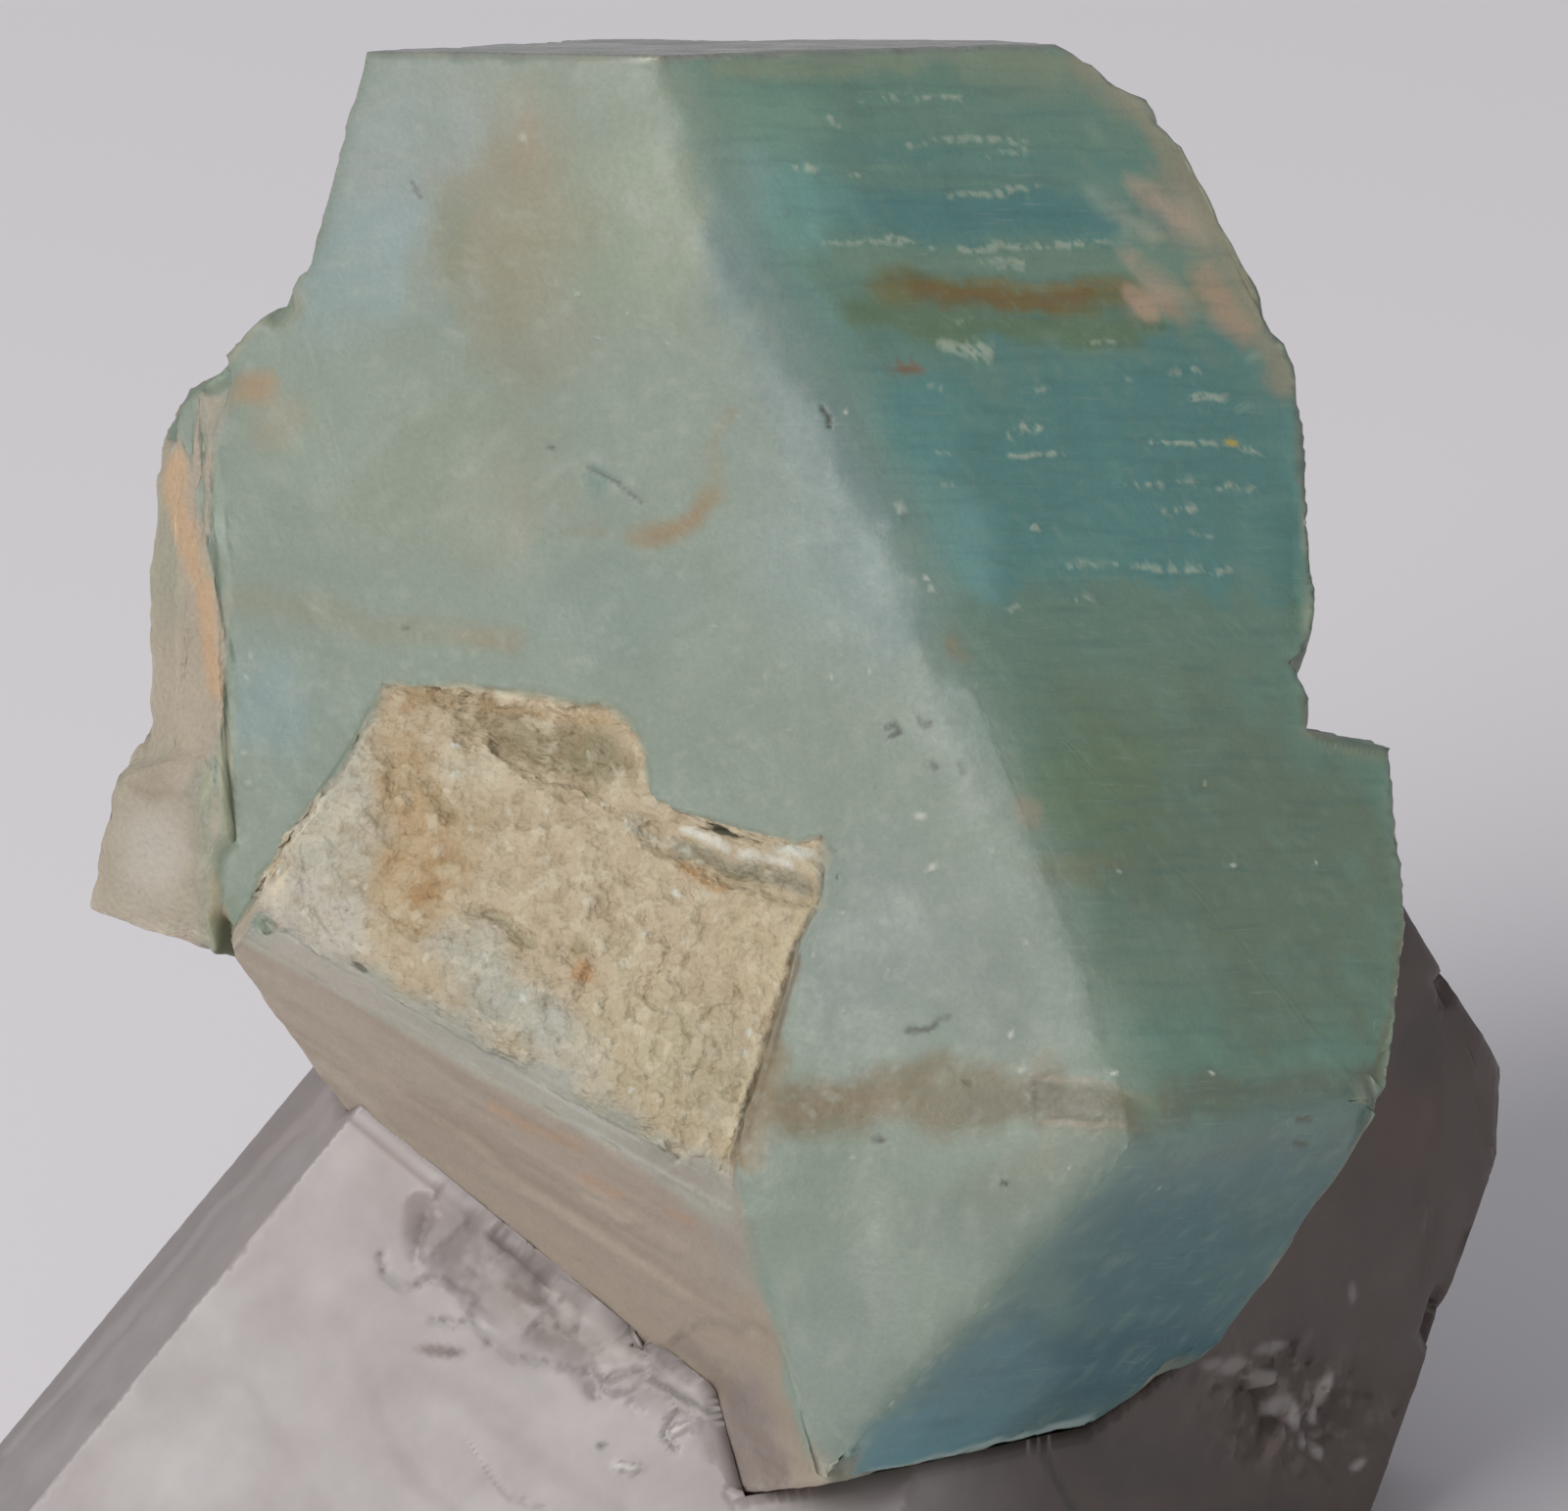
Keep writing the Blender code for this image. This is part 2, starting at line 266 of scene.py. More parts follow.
def refine(co, tri, label, want):
    """Splits longest edges until each edge is as short as want says there."""
    for _ in range(40):
        edges, te = edges_of(tri)
        length = np.linalg.norm(co[edges[:, 0]] - co[edges[:, 1]], axis=1)
        middle = (co[edges[:, 0]] + co[edges[:, 1]]) / 2
        sharp = sharp_edges(co, tri, edges, te)
        rim = np.zeros(len(co), bool)
        rim[edges[sharp].reshape(-1)] = True
        near = rim[edges[:, 0]] | rim[edges[:, 1]]
        marked = length > want(middle, near)
        if not marked.any():
            break
        longest = te[np.arange(len(te)), np.argmax(length[te], axis=1)]
        while True:
            grow = marked[te].any(axis=1) & ~marked[longest]
            if not grow.any():
                break
            marked[longest[grow]] = True
        number = np.full(len(edges), -1)
        number[marked] = len(co) + np.arange(marked.sum())
        co = np.concatenate([co, middle[marked]])
        turn = np.argmax(length[te], axis=1)
        roll = (turn[:, None] + np.arange(3)) % 3
        rows = np.arange(len(tri))[:, None]
        t, e = tri[rows, roll], te[rows, roll]
        a, b, c = t[:, 0], t[:, 1], t[:, 2]
        m0, m1, m2 = number[e[:, 0]], number[e[:, 1]], number[e[:, 2]]
        none = m0 < 0
        one = (m0 >= 0) & (m1 < 0) & (m2 < 0)
        two = (m0 >= 0) & (m1 >= 0) & (m2 < 0)
        other = (m0 >= 0) & (m1 < 0) & (m2 >= 0)
        three = (m0 >= 0) & (m1 >= 0) & (m2 >= 0)
        parts, labels = [tri[none]], [label[none]]
        for mask, corners in (
            (one, ((a, m0, c), (m0, b, c))),
            (two, ((a, m0, c), (m0, b, m1), (m0, m1, c))),
            (other, ((m0, b, c), (a, m0, m2), (m2, m0, c))),
            (three, ((a, m0, m2), (m0, b, m1), (m0, m1, c), (m0, c, m2))),
        ):
            for corner in corners:
                parts.append(np.stack([x[mask] for x in corner], axis=1))
                labels.append(label[mask])
        tri, label = np.concatenate(parts), np.concatenate(labels)
    return co, tri, label


def soften(co, edges, weight, rounds):
    """Moves each point towards its neighbours' middle by its weight."""
    for _ in range(rounds):
        co = co + (neighbour_mean(edges, co) - co) * weight[:, None]
    return co


def spread(edges, value, rounds):
    """Grows a value at each point outwards over the edges, fading."""
    for _ in range(rounds):
        value = np.maximum(value, neighbour_mean(edges, value))
    return value


def blurred(edges, value, rounds):
    for _ in range(rounds):
        value = 0.5 * (value + neighbour_mean(edges, value))
    return value


def label_weights(count, tri, label):
    """For each named face, how far each point belongs to it, 0 to 1."""
    total = np.bincount(tri.reshape(-1), minlength=count)
    out = {}
    for index, name in enumerate(FACES):
        mine = tri[label == index + 1].reshape(-1)
        out[name] = np.bincount(mine, minlength=count) / np.maximum(total, 1)
    return out


def label_faces(co, tri):
    """The index of the named crystal face that each triangle lies on, or 0."""
    n = unit(crosses(co, tri))
    middle = co[tri].mean(axis=1)
    label = np.zeros(len(tri), np.int64)
    for index, (name, (turn, rise, reach)) in enumerate(FACES.items()):
        normal = direction(turn, rise)
        loose = name in ("rough", "sliver", "low sliver")
        level = np.abs(middle @ normal - reach)
        fits = (n @ normal > (0.7 if loose else 0.995)) & (level < (0.75 if loose else 0.1))
        label[fits & (label == 0)] = index + 1
    return label


def face_levels(co, names):
    """How far each point is out beyond each named face."""
    normals = np.array([direction(*FACES[name][:2]) for name in names])
    away = co @ normals.T - np.array([FACES[name][2] for name in names])
    if names[0] == "front":
        away[:, 0] = (co[:, 1] - front_y(co)) * normals[0, 1]
    return away, normals


def plane_y(co, name):
    """How deep the named face's plane lies behind each point's place in the front view."""
    normal = direction(*FACES[name][:2])
    return (FACES[name][2] - co[:, 0] * normal[0] - co[:, 2] * normal[2]) / normal[1]


def front_y(co):
    """The front face's depth: two levels, with the band sloping between them."""
    return np.median([plane_y(co, name) for name in ("front", "front low", "band")], axis=0)


def block_level(co, ledge):
    """The depth of the block and of the face that it runs into, how far each point is to the
    right of their seam, and the depths of the block's own faces."""
    planes = [plane_y(co, name) / BLOCK_WEAR for name in BLOCK_FACES]
    planes[0] = planes[0] + LEDGE_DEPTH / BLOCK_WEAR * ledge
    block = BLOCK_WEAR * np.logaddexp(np.logaddexp(planes[0], planes[1]), planes[2])
    seam = np.array([at(*place) for place in spots(SEAM)])[::-1]
    on_seam = co.copy()
    on_seam[:, 0] = np.interp(co[:, 2], seam[:, 1], seam[:, 0])
    step = front_y(on_seam) - np.max([plane_y(on_seam, name) for name in BLOCK_FACES], axis=0)
    step = 0.5 * np.clip(step, 0.0, MOST_STEP)
    beyond = co[:, 0] - on_seam[:, 0]
    left = block + step * (1.0 - smooth(0.0, SLOPE_LEFT, -beyond))
    right = front_y(co) - step * (1.0 - smooth(0.0, SLOPE_RIGHT, beyond))
    side = smooth(-SEAM_WIDTH, SEAM_WIDTH, beyond)
    return left * (1.0 - side) + right * side, beyond, [plane * BLOCK_WEAR for plane in planes]


def rounded(co, names, reach, strength):
    """Wears away the edges where the named faces meet."""
    away, normals = face_levels(co, names)
    top = away.max(axis=1)
    share = np.exp((away - top[:, None]) / reach)
    drop = reach * np.log(share.sum(axis=1))
    return co - unit(share @ normals) * (drop * strength)[:, None]


# Painting


def srgb(r, g, b):
    c = np.array((r, g, b), float) / 255.0
    return np.where(c <= 0.04045, c / 12.92, ((c + 0.055) / 1.055) ** 2.4)


class Paint:
    """Colours on a mesh's points, laid on in layers."""

    def __init__(self, co, ground):
        self.colour = np.tile(srgb(*ground), (len(co), 1))
        self.refresh(co)

    def refresh(self, co):
        self.xz = co[:, [0, 2]]
        self.wobble = np.stack([fbm(co, 1.6, 91, 4), fbm(co, 1.6, 97, 4)], axis=1)

    def lay(self, weight, colour):
        w = np.clip(weight, 0.0, 1.0)[:, None]
        self.colour = self.colour * (1.0 - w) + srgb(*colour) * w

    def mottle(self, co, rows):
        """Lays on noise: (mask, low, high, size, seed, octaves, colour)."""
        for mask, low, high, size, seed, octaves, colour in rows:
            self.lay(mask * smooth(low, high, fbm(co, size, seed, octaves)), colour)

    def streak(self, co, rows):
        """Lays on streaks: (mask, low, high, slope, pitch, length, seed, colour)."""
        for mask, low, high, slope, pitch, length, seed, colour in rows:
            self.lay(mask * smooth(low, high, streaks(co, slope, pitch, length, seed)), colour)

    def patch(self, mask, u, v, ru, rv, colour, strength, turn=0.0):
        """A soft ragged oval."""
        self.lay(mask * self.oval(u, v, ru, rv, turn) * strength, colour)

    def oval(self, u, v, ru, rv, turn=0.0, soft=0.5, ragged=0.35):
        d = self.xz - np.array(at(u, v)) + self.wobble * ragged * PIXEL * min(ru, rv)
        c, s = math.cos(math.radians(turn)), math.sin(math.radians(turn))
        a = (d[:, 0] * c + d[:, 1] * s) / (ru * PIXEL)
        b = (-d[:, 0] * s + d[:, 1] * c) / (rv * PIXEL)
        return 1.0 - smooth(1.0 - soft, 1.0 + soft, np.hypot(a, b))

    def line(self, mask, points, width, colour, strength):
        self.lay(mask * self.trace(points, width, 0.4, 1.6, 0.6) * strength, colour)

    def trace(self, points, width, low, high, ragged):
        """1 on a line, falling to 0 between low and high widths from it."""
        return 1.0 - smooth(low, high, self.away(points, width, ragged))

    def marks(self, rows, low, high, ragged):
        """The strongest mark at each point: (points, width, strength)."""
        best = np.zeros(len(self.xz))
        for points, width, strength in rows:
            best = np.maximum(best, self.trace(points, width, low, high, ragged) * strength)
        return best

    def zone(self, points, soft, ragged=0.0):
        """1 inside an outline, falling to 0 over soft millimetres outside it."""
        d = self.xz + self.wobble * ragged
        inside = np.zeros(len(d), bool)
        places = [np.array(at(*p)) for p in spots(points)]
        for a, b in zip(places, places[1:] + places[:1]):
            crosses = (a[1] > d[:, 1]) != (b[1] > d[:, 1])
            rise = b[1] - a[1] if b[1] != a[1] else 1e-9
            inside ^= crosses & (d[:, 0] < (b[0] - a[0]) * (d[:, 1] - a[1]) / rise + a[0])
        gap = self.away((*points, *points[:2]), 1.0 / PIXEL, ragged)
        return np.where(inside, 1.0, 1.0 - smooth(0.0, soft, gap))

    def away(self, points, width, ragged):
        """Distance from a line, in widths."""
        d = self.xz + self.wobble * ragged * PIXEL * (width + 3.0)
        best = np.full(len(d), 1e9)
        places = [np.array(at(*p)) for p in spots(points)]
        for a, b in zip(places, places[1:]):
            t = np.clip((d - a) @ (b - a) / max((b - a) @ (b - a), 1e-9), 0.0, 1.0)
            best = np.minimum(best, np.linalg.norm(d - a - t[:, None] * (b - a), axis=1))
        return best / (width * PIXEL)


# Where the marks are, in picture places. A row of points is u, v, u, v and so on.

# White perthite flecks on the right face: (points, width, strength)
FLECKS = (
    ((880, 98, 925, 95, 985, 97), 3, 0.75), ((905, 101, 935, 100), 2.5, 0.5),
    ((925, 147, 960, 140, 1000, 135, 1030, 140, 1045, 148), 3.5, 0.7),
    ((1040, 140, 1085, 133, 1140, 125), 2.5, 0.5), ((1010, 150, 1045, 152), 3, 0.6),
    ((852, 120, 858, 130), 3.5, 0.8), ((975, 193, 1020, 188, 1060, 190), 3.5, 0.7),
    ((1012, 192, 1030, 190), 4.5, 0.8), ((1100, 170, 1125, 172), 2.5, 0.5),
    ((812, 170, 828, 174), 5, 1), ((868, 175, 874, 176), 3.5, 0.8),
    ((840, 246, 895, 246, 950, 248), 3, 0.6), ((905, 240, 925, 246, 945, 250), 5, 0.9),
    ((975, 250, 1040, 251, 1080, 249, 1110, 243), 3.5, 0.75), ((1085, 249, 1110, 243), 4.5, 0.8),
    ((1110, 243, 1150, 236), 2.5, 0.6), ((1005, 262, 1050, 267), 3.5, 0.7),
    ((1025, 272, 1050, 272), 2.5, 0.5),
    ((1115, 196, 1135, 210, 1140, 226, 1160, 236, 1175, 246), 4, 0.75),
    ((1135, 210, 1160, 202, 1175, 190), 4, 0.7), ((1160, 236, 1190, 228, 1225, 232), 2.5, 0.5),
    ((970, 342, 988, 350, 1005, 360), 7, 0.85), ((980, 325, 992, 328), 3, 0.6),
    ((1120, 340, 1140, 341), 3, 0.5), ((1232, 357, 1260, 358), 2.5, 0.5),
    ((1218, 402, 1245, 404, 1288, 414), 3.5, 0.85), ((1222, 376, 1230, 380), 3.5, 0.7),
    ((1280, 362, 1287, 363), 3.5, 0.7), ((1195, 378, 1205, 380), 3, 0.5),
    ((1148, 382, 1158, 386), 2.5, 0.4), ((1035, 437, 1050, 428, 1064, 436), 4.5, 0.85),
    ((1032, 461, 1085, 460), 2.8, 0.8), ((1180, 450, 1235, 450, 1285, 453), 2.8, 0.8),
    ((1150, 491, 1185, 491), 3, 0.85), ((1210, 490, 1225, 491), 2.8, 0.7),
    ((1245, 491, 1285, 494), 3, 0.85), ((1185, 517, 1225, 519), 3.5, 0.8),
    ((1058, 539, 1070, 540), 3.5, 0.8), ((1215, 545, 1240, 546), 2, 0.4),
    ((1085, 577, 1150, 577, 1180, 577), 2.6, 0.6), ((1180, 578, 1215, 582, 1260, 580), 3, 0.75),
    ((1024, 620, 1045, 617), 3, 0.7), ((1098, 613, 1110, 613), 3.5, 0.8),
    ((960, 500, 975, 500), 2.4, 0.5), ((958, 461, 972, 461), 2.6, 0.5),
    ((1065, 393, 1078, 392), 2.4, 0.45), ((945, 396, 958, 398), 3, 0.55),
)
# Bright specks, partly white chips and partly painted glints of light on the rough crust: (u, v,
# radius, strength)
SPECKS_AND_GLINTS = (
    (937, 833, 8, 1), (950, 883, 7, 0.95), (1030, 1055, 5, 0.95), (916, 522, 5, 1),
    (945, 590, 5, 0.7), (952, 602, 6, 0.7), (863, 422, 4, 0.9), (886, 685, 4, 0.8),
    (848, 692, 4, 0.5), (855, 668, 3, 0.5), (532, 140, 6, 0.5), (590, 300, 4, 0.5),
    (640, 320, 3, 0.5), (680, 350, 3, 0.5), (610, 345, 3, 0.4), (560, 290, 3, 0.4),
    (262, 250, 3, 0.3), (250, 670, 5, 0.5), (247, 690, 4, 0.5), (245, 770, 4, 0.5),
    (250, 800, 5, 0.4), (200, 470, 4, 0.4), (1010, 870, 3, 0.5), (1045, 960, 4, 0.5),
    (1140, 890, 4, 0.6), (1260, 882, 4, 0.7), (1230, 800, 3, 0.5), (1345, 880, 3, 0.5),
    (1235, 1095, 4, 0.7), (1135, 1092, 5, 0.8), (860, 1030, 3, 0.4), (765, 1056, 6, 1),
    (760, 1076, 6, 1), (772, 1040, 4, 0.8), (463, 762, 6, 0.9), (463, 791, 7, 0.9),
    (495, 979, 6, 0.9), (533, 1020, 7, 0.8), (690, 909, 8, 0.9), (658, 953, 5, 0.8),
    (643, 1111, 5, 0.7), (283, 890, 5, 0.9), (364, 964, 5, 0.8), (330, 860, 4, 0.6),
    (345, 880, 4, 0.6), (372, 905, 5, 0.6), (310, 935, 4, 0.6), (440, 1020, 4, 0.5),
    (600, 920, 5, 0.6), (555, 875, 5, 0.5), (700, 960, 5, 0.6), (740, 940, 4, 0.6),
    (680, 1030, 5, 0.5), (620, 1060, 4, 0.5), (700, 1100, 4, 0.6), (725, 1130, 4, 0.6),
    (480, 845, 5, 0.5), (520, 830, 5, 0.6), (560, 830, 4, 0.5), (600, 815, 4, 0.6),
    (615, 818, 5, 0.7), (1040, 1090, 4, 0.5), (910, 1430, 3, 0.4), (870, 1180, 3, 0.4),
    (1180, 1210, 3, 0.4), (1090, 1190, 3, 0.5), (780, 690, 3, 0.4), (730, 640, 3, 0.4),
    (805, 745, 3, 0.4), (860, 930, 3, 0.5), (830, 975, 4, 0.5), (905, 990, 3, 0.4),
)
# Dark specks, lint and hair-fine cracks: (points, width, strength)
DARKS = (
    ((838, 415, 845, 425, 846, 436), 3, 0.8), ((905, 742, 913, 738, 918, 746, 909, 750), 2.6, 0.7),
    ((936, 735, 942, 742, 950, 738), 2.6, 0.6),
    ((926, 1050, 945, 1050, 958, 1042, 964, 1036), 2.8, 0.75), ((1022, 1205, 1026, 1205), 3, 0.9),
    ((1326, 1142, 1337, 1142), 3, 0.9), ((1324, 1168, 1332, 1170), 3.2, 0.9),
    ((894, 1162, 898, 1162), 3.5, 0.9), ((600, 478, 628, 490, 655, 515), 1.8, 0.55),
    ((420, 185, 426, 200), 2.2, 0.4), ((1052, 1097, 1052, 1141), 1.8, 0.5),
    ((363, 984, 372, 990), 3, 0.7), ((950, 783, 953, 785), 3, 0.6),
    ((560, 455, 563, 457), 2.6, 0.6), ((410, 640, 413, 641), 2.6, 0.5),
    ((980, 780, 984, 790), 2, 0.5),
)
# Grooves in the rough front of the block: (points, width, depth in millimetres)
GROOVES = (
    ((431, 797, 444, 812, 460, 832), 7, 0.3), ((485, 928, 512, 942, 543, 960), 7, 0.32),
    ((505, 760, 546, 784, 571, 792, 600, 800), 8, 0.3),
    ((653, 833, 672, 856, 723, 888, 771, 903, 819, 913), 9, 0.35), ((572, 966, 580, 970), 6, 0.25),
    ((655, 930, 668, 955), 5, 0.2), ((395, 760, 400, 800, 392, 850), 5, 0.15),
    ((395, 925, 440, 950, 480, 962), 5, 0.15),
)


class DetailMap:
    """The edge length wanted at each place of the front view, in cells of PITCH."""

    LOW, PITCH, CELLS = np.array((-30.0, -32.0)), 0.1, 600

    def __init__(self, coarse):
        self.grid = np.full((self.CELLS, self.CELLS), coarse)

    def dab(self, x, z, radius, length):
        spot = np.array((x, z))
        i0 = np.floor((spot - radius - self.LOW) / self.PITCH).astype(int)
        i1 = np.ceil((spot + radius - self.LOW) / self.PITCH).astype(int) + 1
        i0, i1 = np.clip(i0, 0, self.CELLS - 1), np.clip(i1, 1, self.CELLS)
        part = self.grid[i0[0] : i1[0], i0[1] : i1[1]]
        np.minimum(part, length, out=part)

    def along(self, points, radius, length):
        places = spots(points)
        for (u0, v0), (u1, v1) in zip(places, places[1:]):
            steps = max(2, int(math.hypot(u1 - u0, v1 - v0) / 6) + 1)
            for t in np.linspace(0.0, 1.0, steps):
                self.dab(*at(u0 + (u1 - u0) * t, v0 + (v1 - v0) * t), radius, length)

    def read(self, p):
        i = ((p[:, [0, 2]] - self.LOW) / self.PITCH).astype(int)
        i = np.clip(i, 0, self.CELLS - 1)
        return self.grid[i[:, 0], i[:, 1]]


# Patches of colour, by face: (u, v, ru, rv, colour, strength, turn if any)
FRONT_PATCHES = (
    (430, 150, 110, 110, (155, 167, 162), 0.8), (375, 265, 78, 70, (148, 168, 166), 0.8),
    (600, 80, 150, 30, (150, 158, 140), 0.5), (650, 230, 85, 110, (148, 159, 135), 0.7),
    (520, 225, 72, 115, (153, 147, 120), 0.85), (545, 330, 60, 70, (150, 150, 128), 0.5),
    (458, 240, 18, 55, (138, 140, 110), 0.5), (535, 150, 14, 34, (160, 146, 120), 0.5),
    (430, 470, 120, 90, (143, 156, 134), 0.6), (335, 440, 60, 60, (146, 161, 145), 0.7),
    (520, 520, 60, 90, (151, 157, 138), 0.6), (530, 540, 12, 70, (160, 160, 142), 0.5, 4),
    (620, 620, 120, 60, (136, 155, 141), 0.7), (610, 490, 13, 17, (110, 140, 130), 0.7),
    (600, 545, 16, 6, (152, 142, 112), 0.5), (830, 560, 60, 120, (138, 158, 152), 0.6, 20),
    (740, 740, 140, 70, (142, 156, 141), 0.6), (265, 720, 50, 52, (138, 160, 158), 0.8),
    (230, 850, 30, 70, (148, 160, 143), 0.7), (285, 310, 22, 18, (165, 155, 130), 0.8),
    (255, 395, 22, 16, (172, 142, 102), 0.9), (232, 405, 30, 10, (160, 152, 128), 0.6, 30),
    (900, 960, 100, 90, (139, 152, 144), 0.6), (1040, 1010, 70, 70, (133, 146, 136), 0.7),
    (1047, 828, 13, 16, (168, 146, 124), 0.9), (1085, 885, 35, 14, (126, 124, 98), 0.7),
    (285, 430, 30, 22, (160, 152, 128), 0.6, 20), (860, 1230, 90, 60, (138, 151, 136), 0.6),
    (860, 1380, 60, 90, (134, 148, 138), 0.7), (990, 1250, 60, 40, (130, 144, 131), 0.7, 20),
    (1075, 1190, 90, 28, (128, 133, 112), 0.5, 15), (752, 1183, 9, 10, (160, 118, 74), 0.9),
)
# Lines of colour, by face: (points, width, colour, strength)
FRONT_LINES = (
    ((745, 420, 736, 455, 731, 485, 722, 510), 7, (150, 142, 112), 0.45),
    ((650, 549, 680, 543, 706, 530, 722, 508), 10, (152, 137, 104), 0.75),
    ((668, 546, 700, 536, 716, 520), 5, (152, 128, 92), 0.6),
    ((235, 608, 300, 620, 400, 640, 520, 657), 14, (148, 148, 122), 0.5),
    ((470, 648, 520, 656), 9, (158, 146, 122), 0.5),
    # Painted shade: the blue-grey strip along the ridge to the right face, painted darker than its
    # own colour against the light that the worn ridge catches
    ((745, 180, 765, 240, 800, 310, 860, 430, 905, 520), 34, (108, 131, 131), 0.85),
    ((742, 230, 760, 300, 795, 380, 835, 465, 880, 560, 915, 640), 34, (118, 140, 138), 0.75),
    ((905, 520, 945, 600, 975, 670, 1000, 740), 32, (112, 133, 130), 0.7),
    ((1010, 780, 1050, 860, 1085, 960, 1110, 1040), 20, (118, 132, 121), 0.6),
    ((775, 1124, 860, 1122, 950, 1115, 1060, 1118, 1190, 1136), 30, (128, 121, 93), 0.95),
    ((1060, 1124, 1130, 1128, 1190, 1138), 22, (96, 92, 72), 0.9),
    ((800, 1130, 860, 1122, 910, 1118), 11, (128, 112, 76), 0.7),
    ((1062, 1101, 1110, 1096, 1170, 1120, 1186, 1142), 3, (165, 150, 128), 0.6),
    ((1062, 1144, 1110, 1146, 1170, 1148, 1192, 1143), 3, (165, 150, 128), 0.6),
    ((1186, 1128, 1200, 1140, 1188, 1152), 6, (168, 144, 122), 0.8),
    ((1052, 1095, 1051, 1142), 2.5, (160, 150, 128), 0.7),
    ((1025, 1150, 1026, 1190), 2.5, (150, 156, 138), 0.6),
    ((1062, 1150, 1063, 1198), 2.5, (152, 157, 138), 0.7),
    ((1074, 1156, 1075, 1196), 2.5, (152, 157, 138), 0.6),
    ((990, 1140, 1000, 1165), 2.5, (150, 152, 134), 0.5),
    ((806, 985, 792, 1050, 772, 1110, 756, 1165, 750, 1196), 9, (138, 116, 80), 0.85),
    # Painted shadow: a thin dark line on the front face beside the block's raised right end
    ((815, 975, 800, 1035, 780, 1100, 762, 1160), 2.5, (96, 92, 70), 0.7),
    ((795, 1080, 778, 1140, 768, 1185), 12, (150, 132, 98), 0.6),
    ((1000, 1126, 1090, 1124, 1185, 1128), 17, (116, 113, 93), 0.55),
    ((800, 1110, 860, 1120, 930, 1124), 12, (120, 106, 72), 0.5),
    ((365, 51, 341, 156, 310, 271), 5, (168, 172, 158), 0.5),
    ((310, 271, 262, 325, 204, 388, 179, 411), 5, (168, 165, 145), 0.55),
    ((380, 50, 600, 57, 760, 55), 5, (152, 150, 136), 0.6),
)
RIGHT_PATCHES = (
    (1150, 480, 270, 150, (83, 118, 114), 0.95), (1290, 540, 60, 50, (89, 120, 114), 0.6),
    (940, 440, 40, 60, (92, 131, 128), 0.8, 20), (985, 565, 40, 50, (108, 142, 139), 0.85, 20),
    (1060, 75, 70, 22, (112, 127, 111), 0.8), (790, 125, 65, 42, (113, 139, 124), 0.8),
    (1010, 112, 120, 12, (99, 124, 113), 0.7), (1010, 160, 190, 16, (90, 122, 114), 0.8, -3),
    (1000, 215, 170, 28, (80, 116, 114), 0.95, -2), (800, 215, 60, 48, (111, 145, 138), 0.85),
    (765, 190, 26, 40, (126, 150, 146), 0.6, 20), (925, 297, 24, 7, (130, 112, 72), 0.9),
    (1150, 720, 130, 55, (99, 114, 96), 0.8), (1205, 195, 40, 20, (126, 124, 108), 0.8),
    (1182, 300, 22, 15, (163, 143, 124), 0.9, 10), (1170, 322, 16, 8, (156, 138, 120), 0.8),
    (1208, 312, 22, 10, (148, 134, 114), 0.75, -20),
    (1258, 322, 22, 17, (158, 142, 123), 0.9, -35),
    (1240, 292, 24, 12, (146, 130, 110), 0.75, -40),
    (1275, 338, 16, 14, (142, 130, 112), 0.8, -50), (1205, 210, 30, 17, (146, 138, 124), 0.8, -20),
    (1180, 188, 18, 10, (132, 130, 114), 0.7, -25), (1212, 236, 26, 8, (130, 128, 112), 0.6, -20),
    (1255, 285, 40, 34, (124, 120, 100), 0.6), (928, 378, 17, 3, (120, 88, 66), 0.9, 2),
    (1110, 810, 75, 62, (97, 114, 89), 0.85), (1098, 885, 48, 14, (124, 118, 92), 0.85),
    (1270, 900, 210, 170, (94, 104, 87), 0.8), (1175, 980, 75, 45, (104, 120, 106), 0.8),
    (1262, 448, 7, 4, (168, 152, 84), 0.9), (1050, 830, 12, 12, (160, 140, 118), 0.7),
)
RIGHT_LINES = (
    ((740, 62, 900, 52, 1085, 50), 17, (123, 134, 116), 0.9),
    ((860, 262, 1050, 268, 1250, 258), 13, (107, 128, 112), 0.9),
    ((905, 294, 1000, 303, 1090, 303, 1155, 294), 17, (101, 98, 64), 0.9),
    ((940, 298, 1040, 305, 1120, 299), 9, (106, 88, 54), 0.8),
    ((870, 320, 960, 330, 1060, 334, 1180, 330), 13, (90, 108, 83), 0.85),
    ((1000, 286, 1100, 288, 1160, 284), 4, (118, 112, 84), 0.7),
    ((775, 260, 830, 340, 880, 430, 960, 560), 26, (106, 136, 131), 0.7),
    ((990, 640, 1150, 640, 1330, 645), 38, (98, 117, 103), 0.8),
    ((1110, 45, 1160, 90, 1200, 140, 1240, 225, 1285, 310, 1322, 380), 15, (136, 130, 112), 0.8),
    ((1150, 250, 1172, 276, 1200, 292, 1222, 312), 7, (158, 146, 128), 0.7),
    ((1138, 205, 1165, 218, 1180, 240), 5, (166, 160, 142), 0.8),
    ((1170, 190, 1200, 202, 1228, 222), 11, (158, 146, 130), 0.85),
    ((1232, 268, 1252, 302, 1282, 336), 10, (156, 138, 118), 0.8),
    ((1162, 292, 1180, 318), 7, (160, 140, 120), 0.7),
    ((1338, 408, 1343, 620), 5, (112, 122, 110), 0.5),
    ((1200, 1125, 1300, 1122, 1405, 1118), 22, (90, 93, 77), 0.8),
    ((1362, 755, 1400, 763, 1430, 768), 8, (120, 124, 104), 0.7),
    ((1440, 925, 1427, 1026, 1402, 1106), 6, (112, 110, 92), 0.6),
    ((1000, 700, 1045, 820, 1095, 960, 1130, 1060), 9, (128, 138, 124), 0.5),
)
UNDER_RIGHT_PATCHES = (
    (1180, 1300, 130, 66, (62, 94, 95), 0.85, 20), (1150, 1395, 95, 34, (50, 84, 90), 0.9, 15),
    (940, 1465, 100, 34, (87, 122, 127), 0.95, 12), (1010, 1400, 66, 50, (85, 115, 117), 0.85, 30),
    (1340, 1245, 76, 84, (73, 97, 95), 0.95), (1060, 1300, 26, 60, (98, 120, 110), 0.6, 35),
)
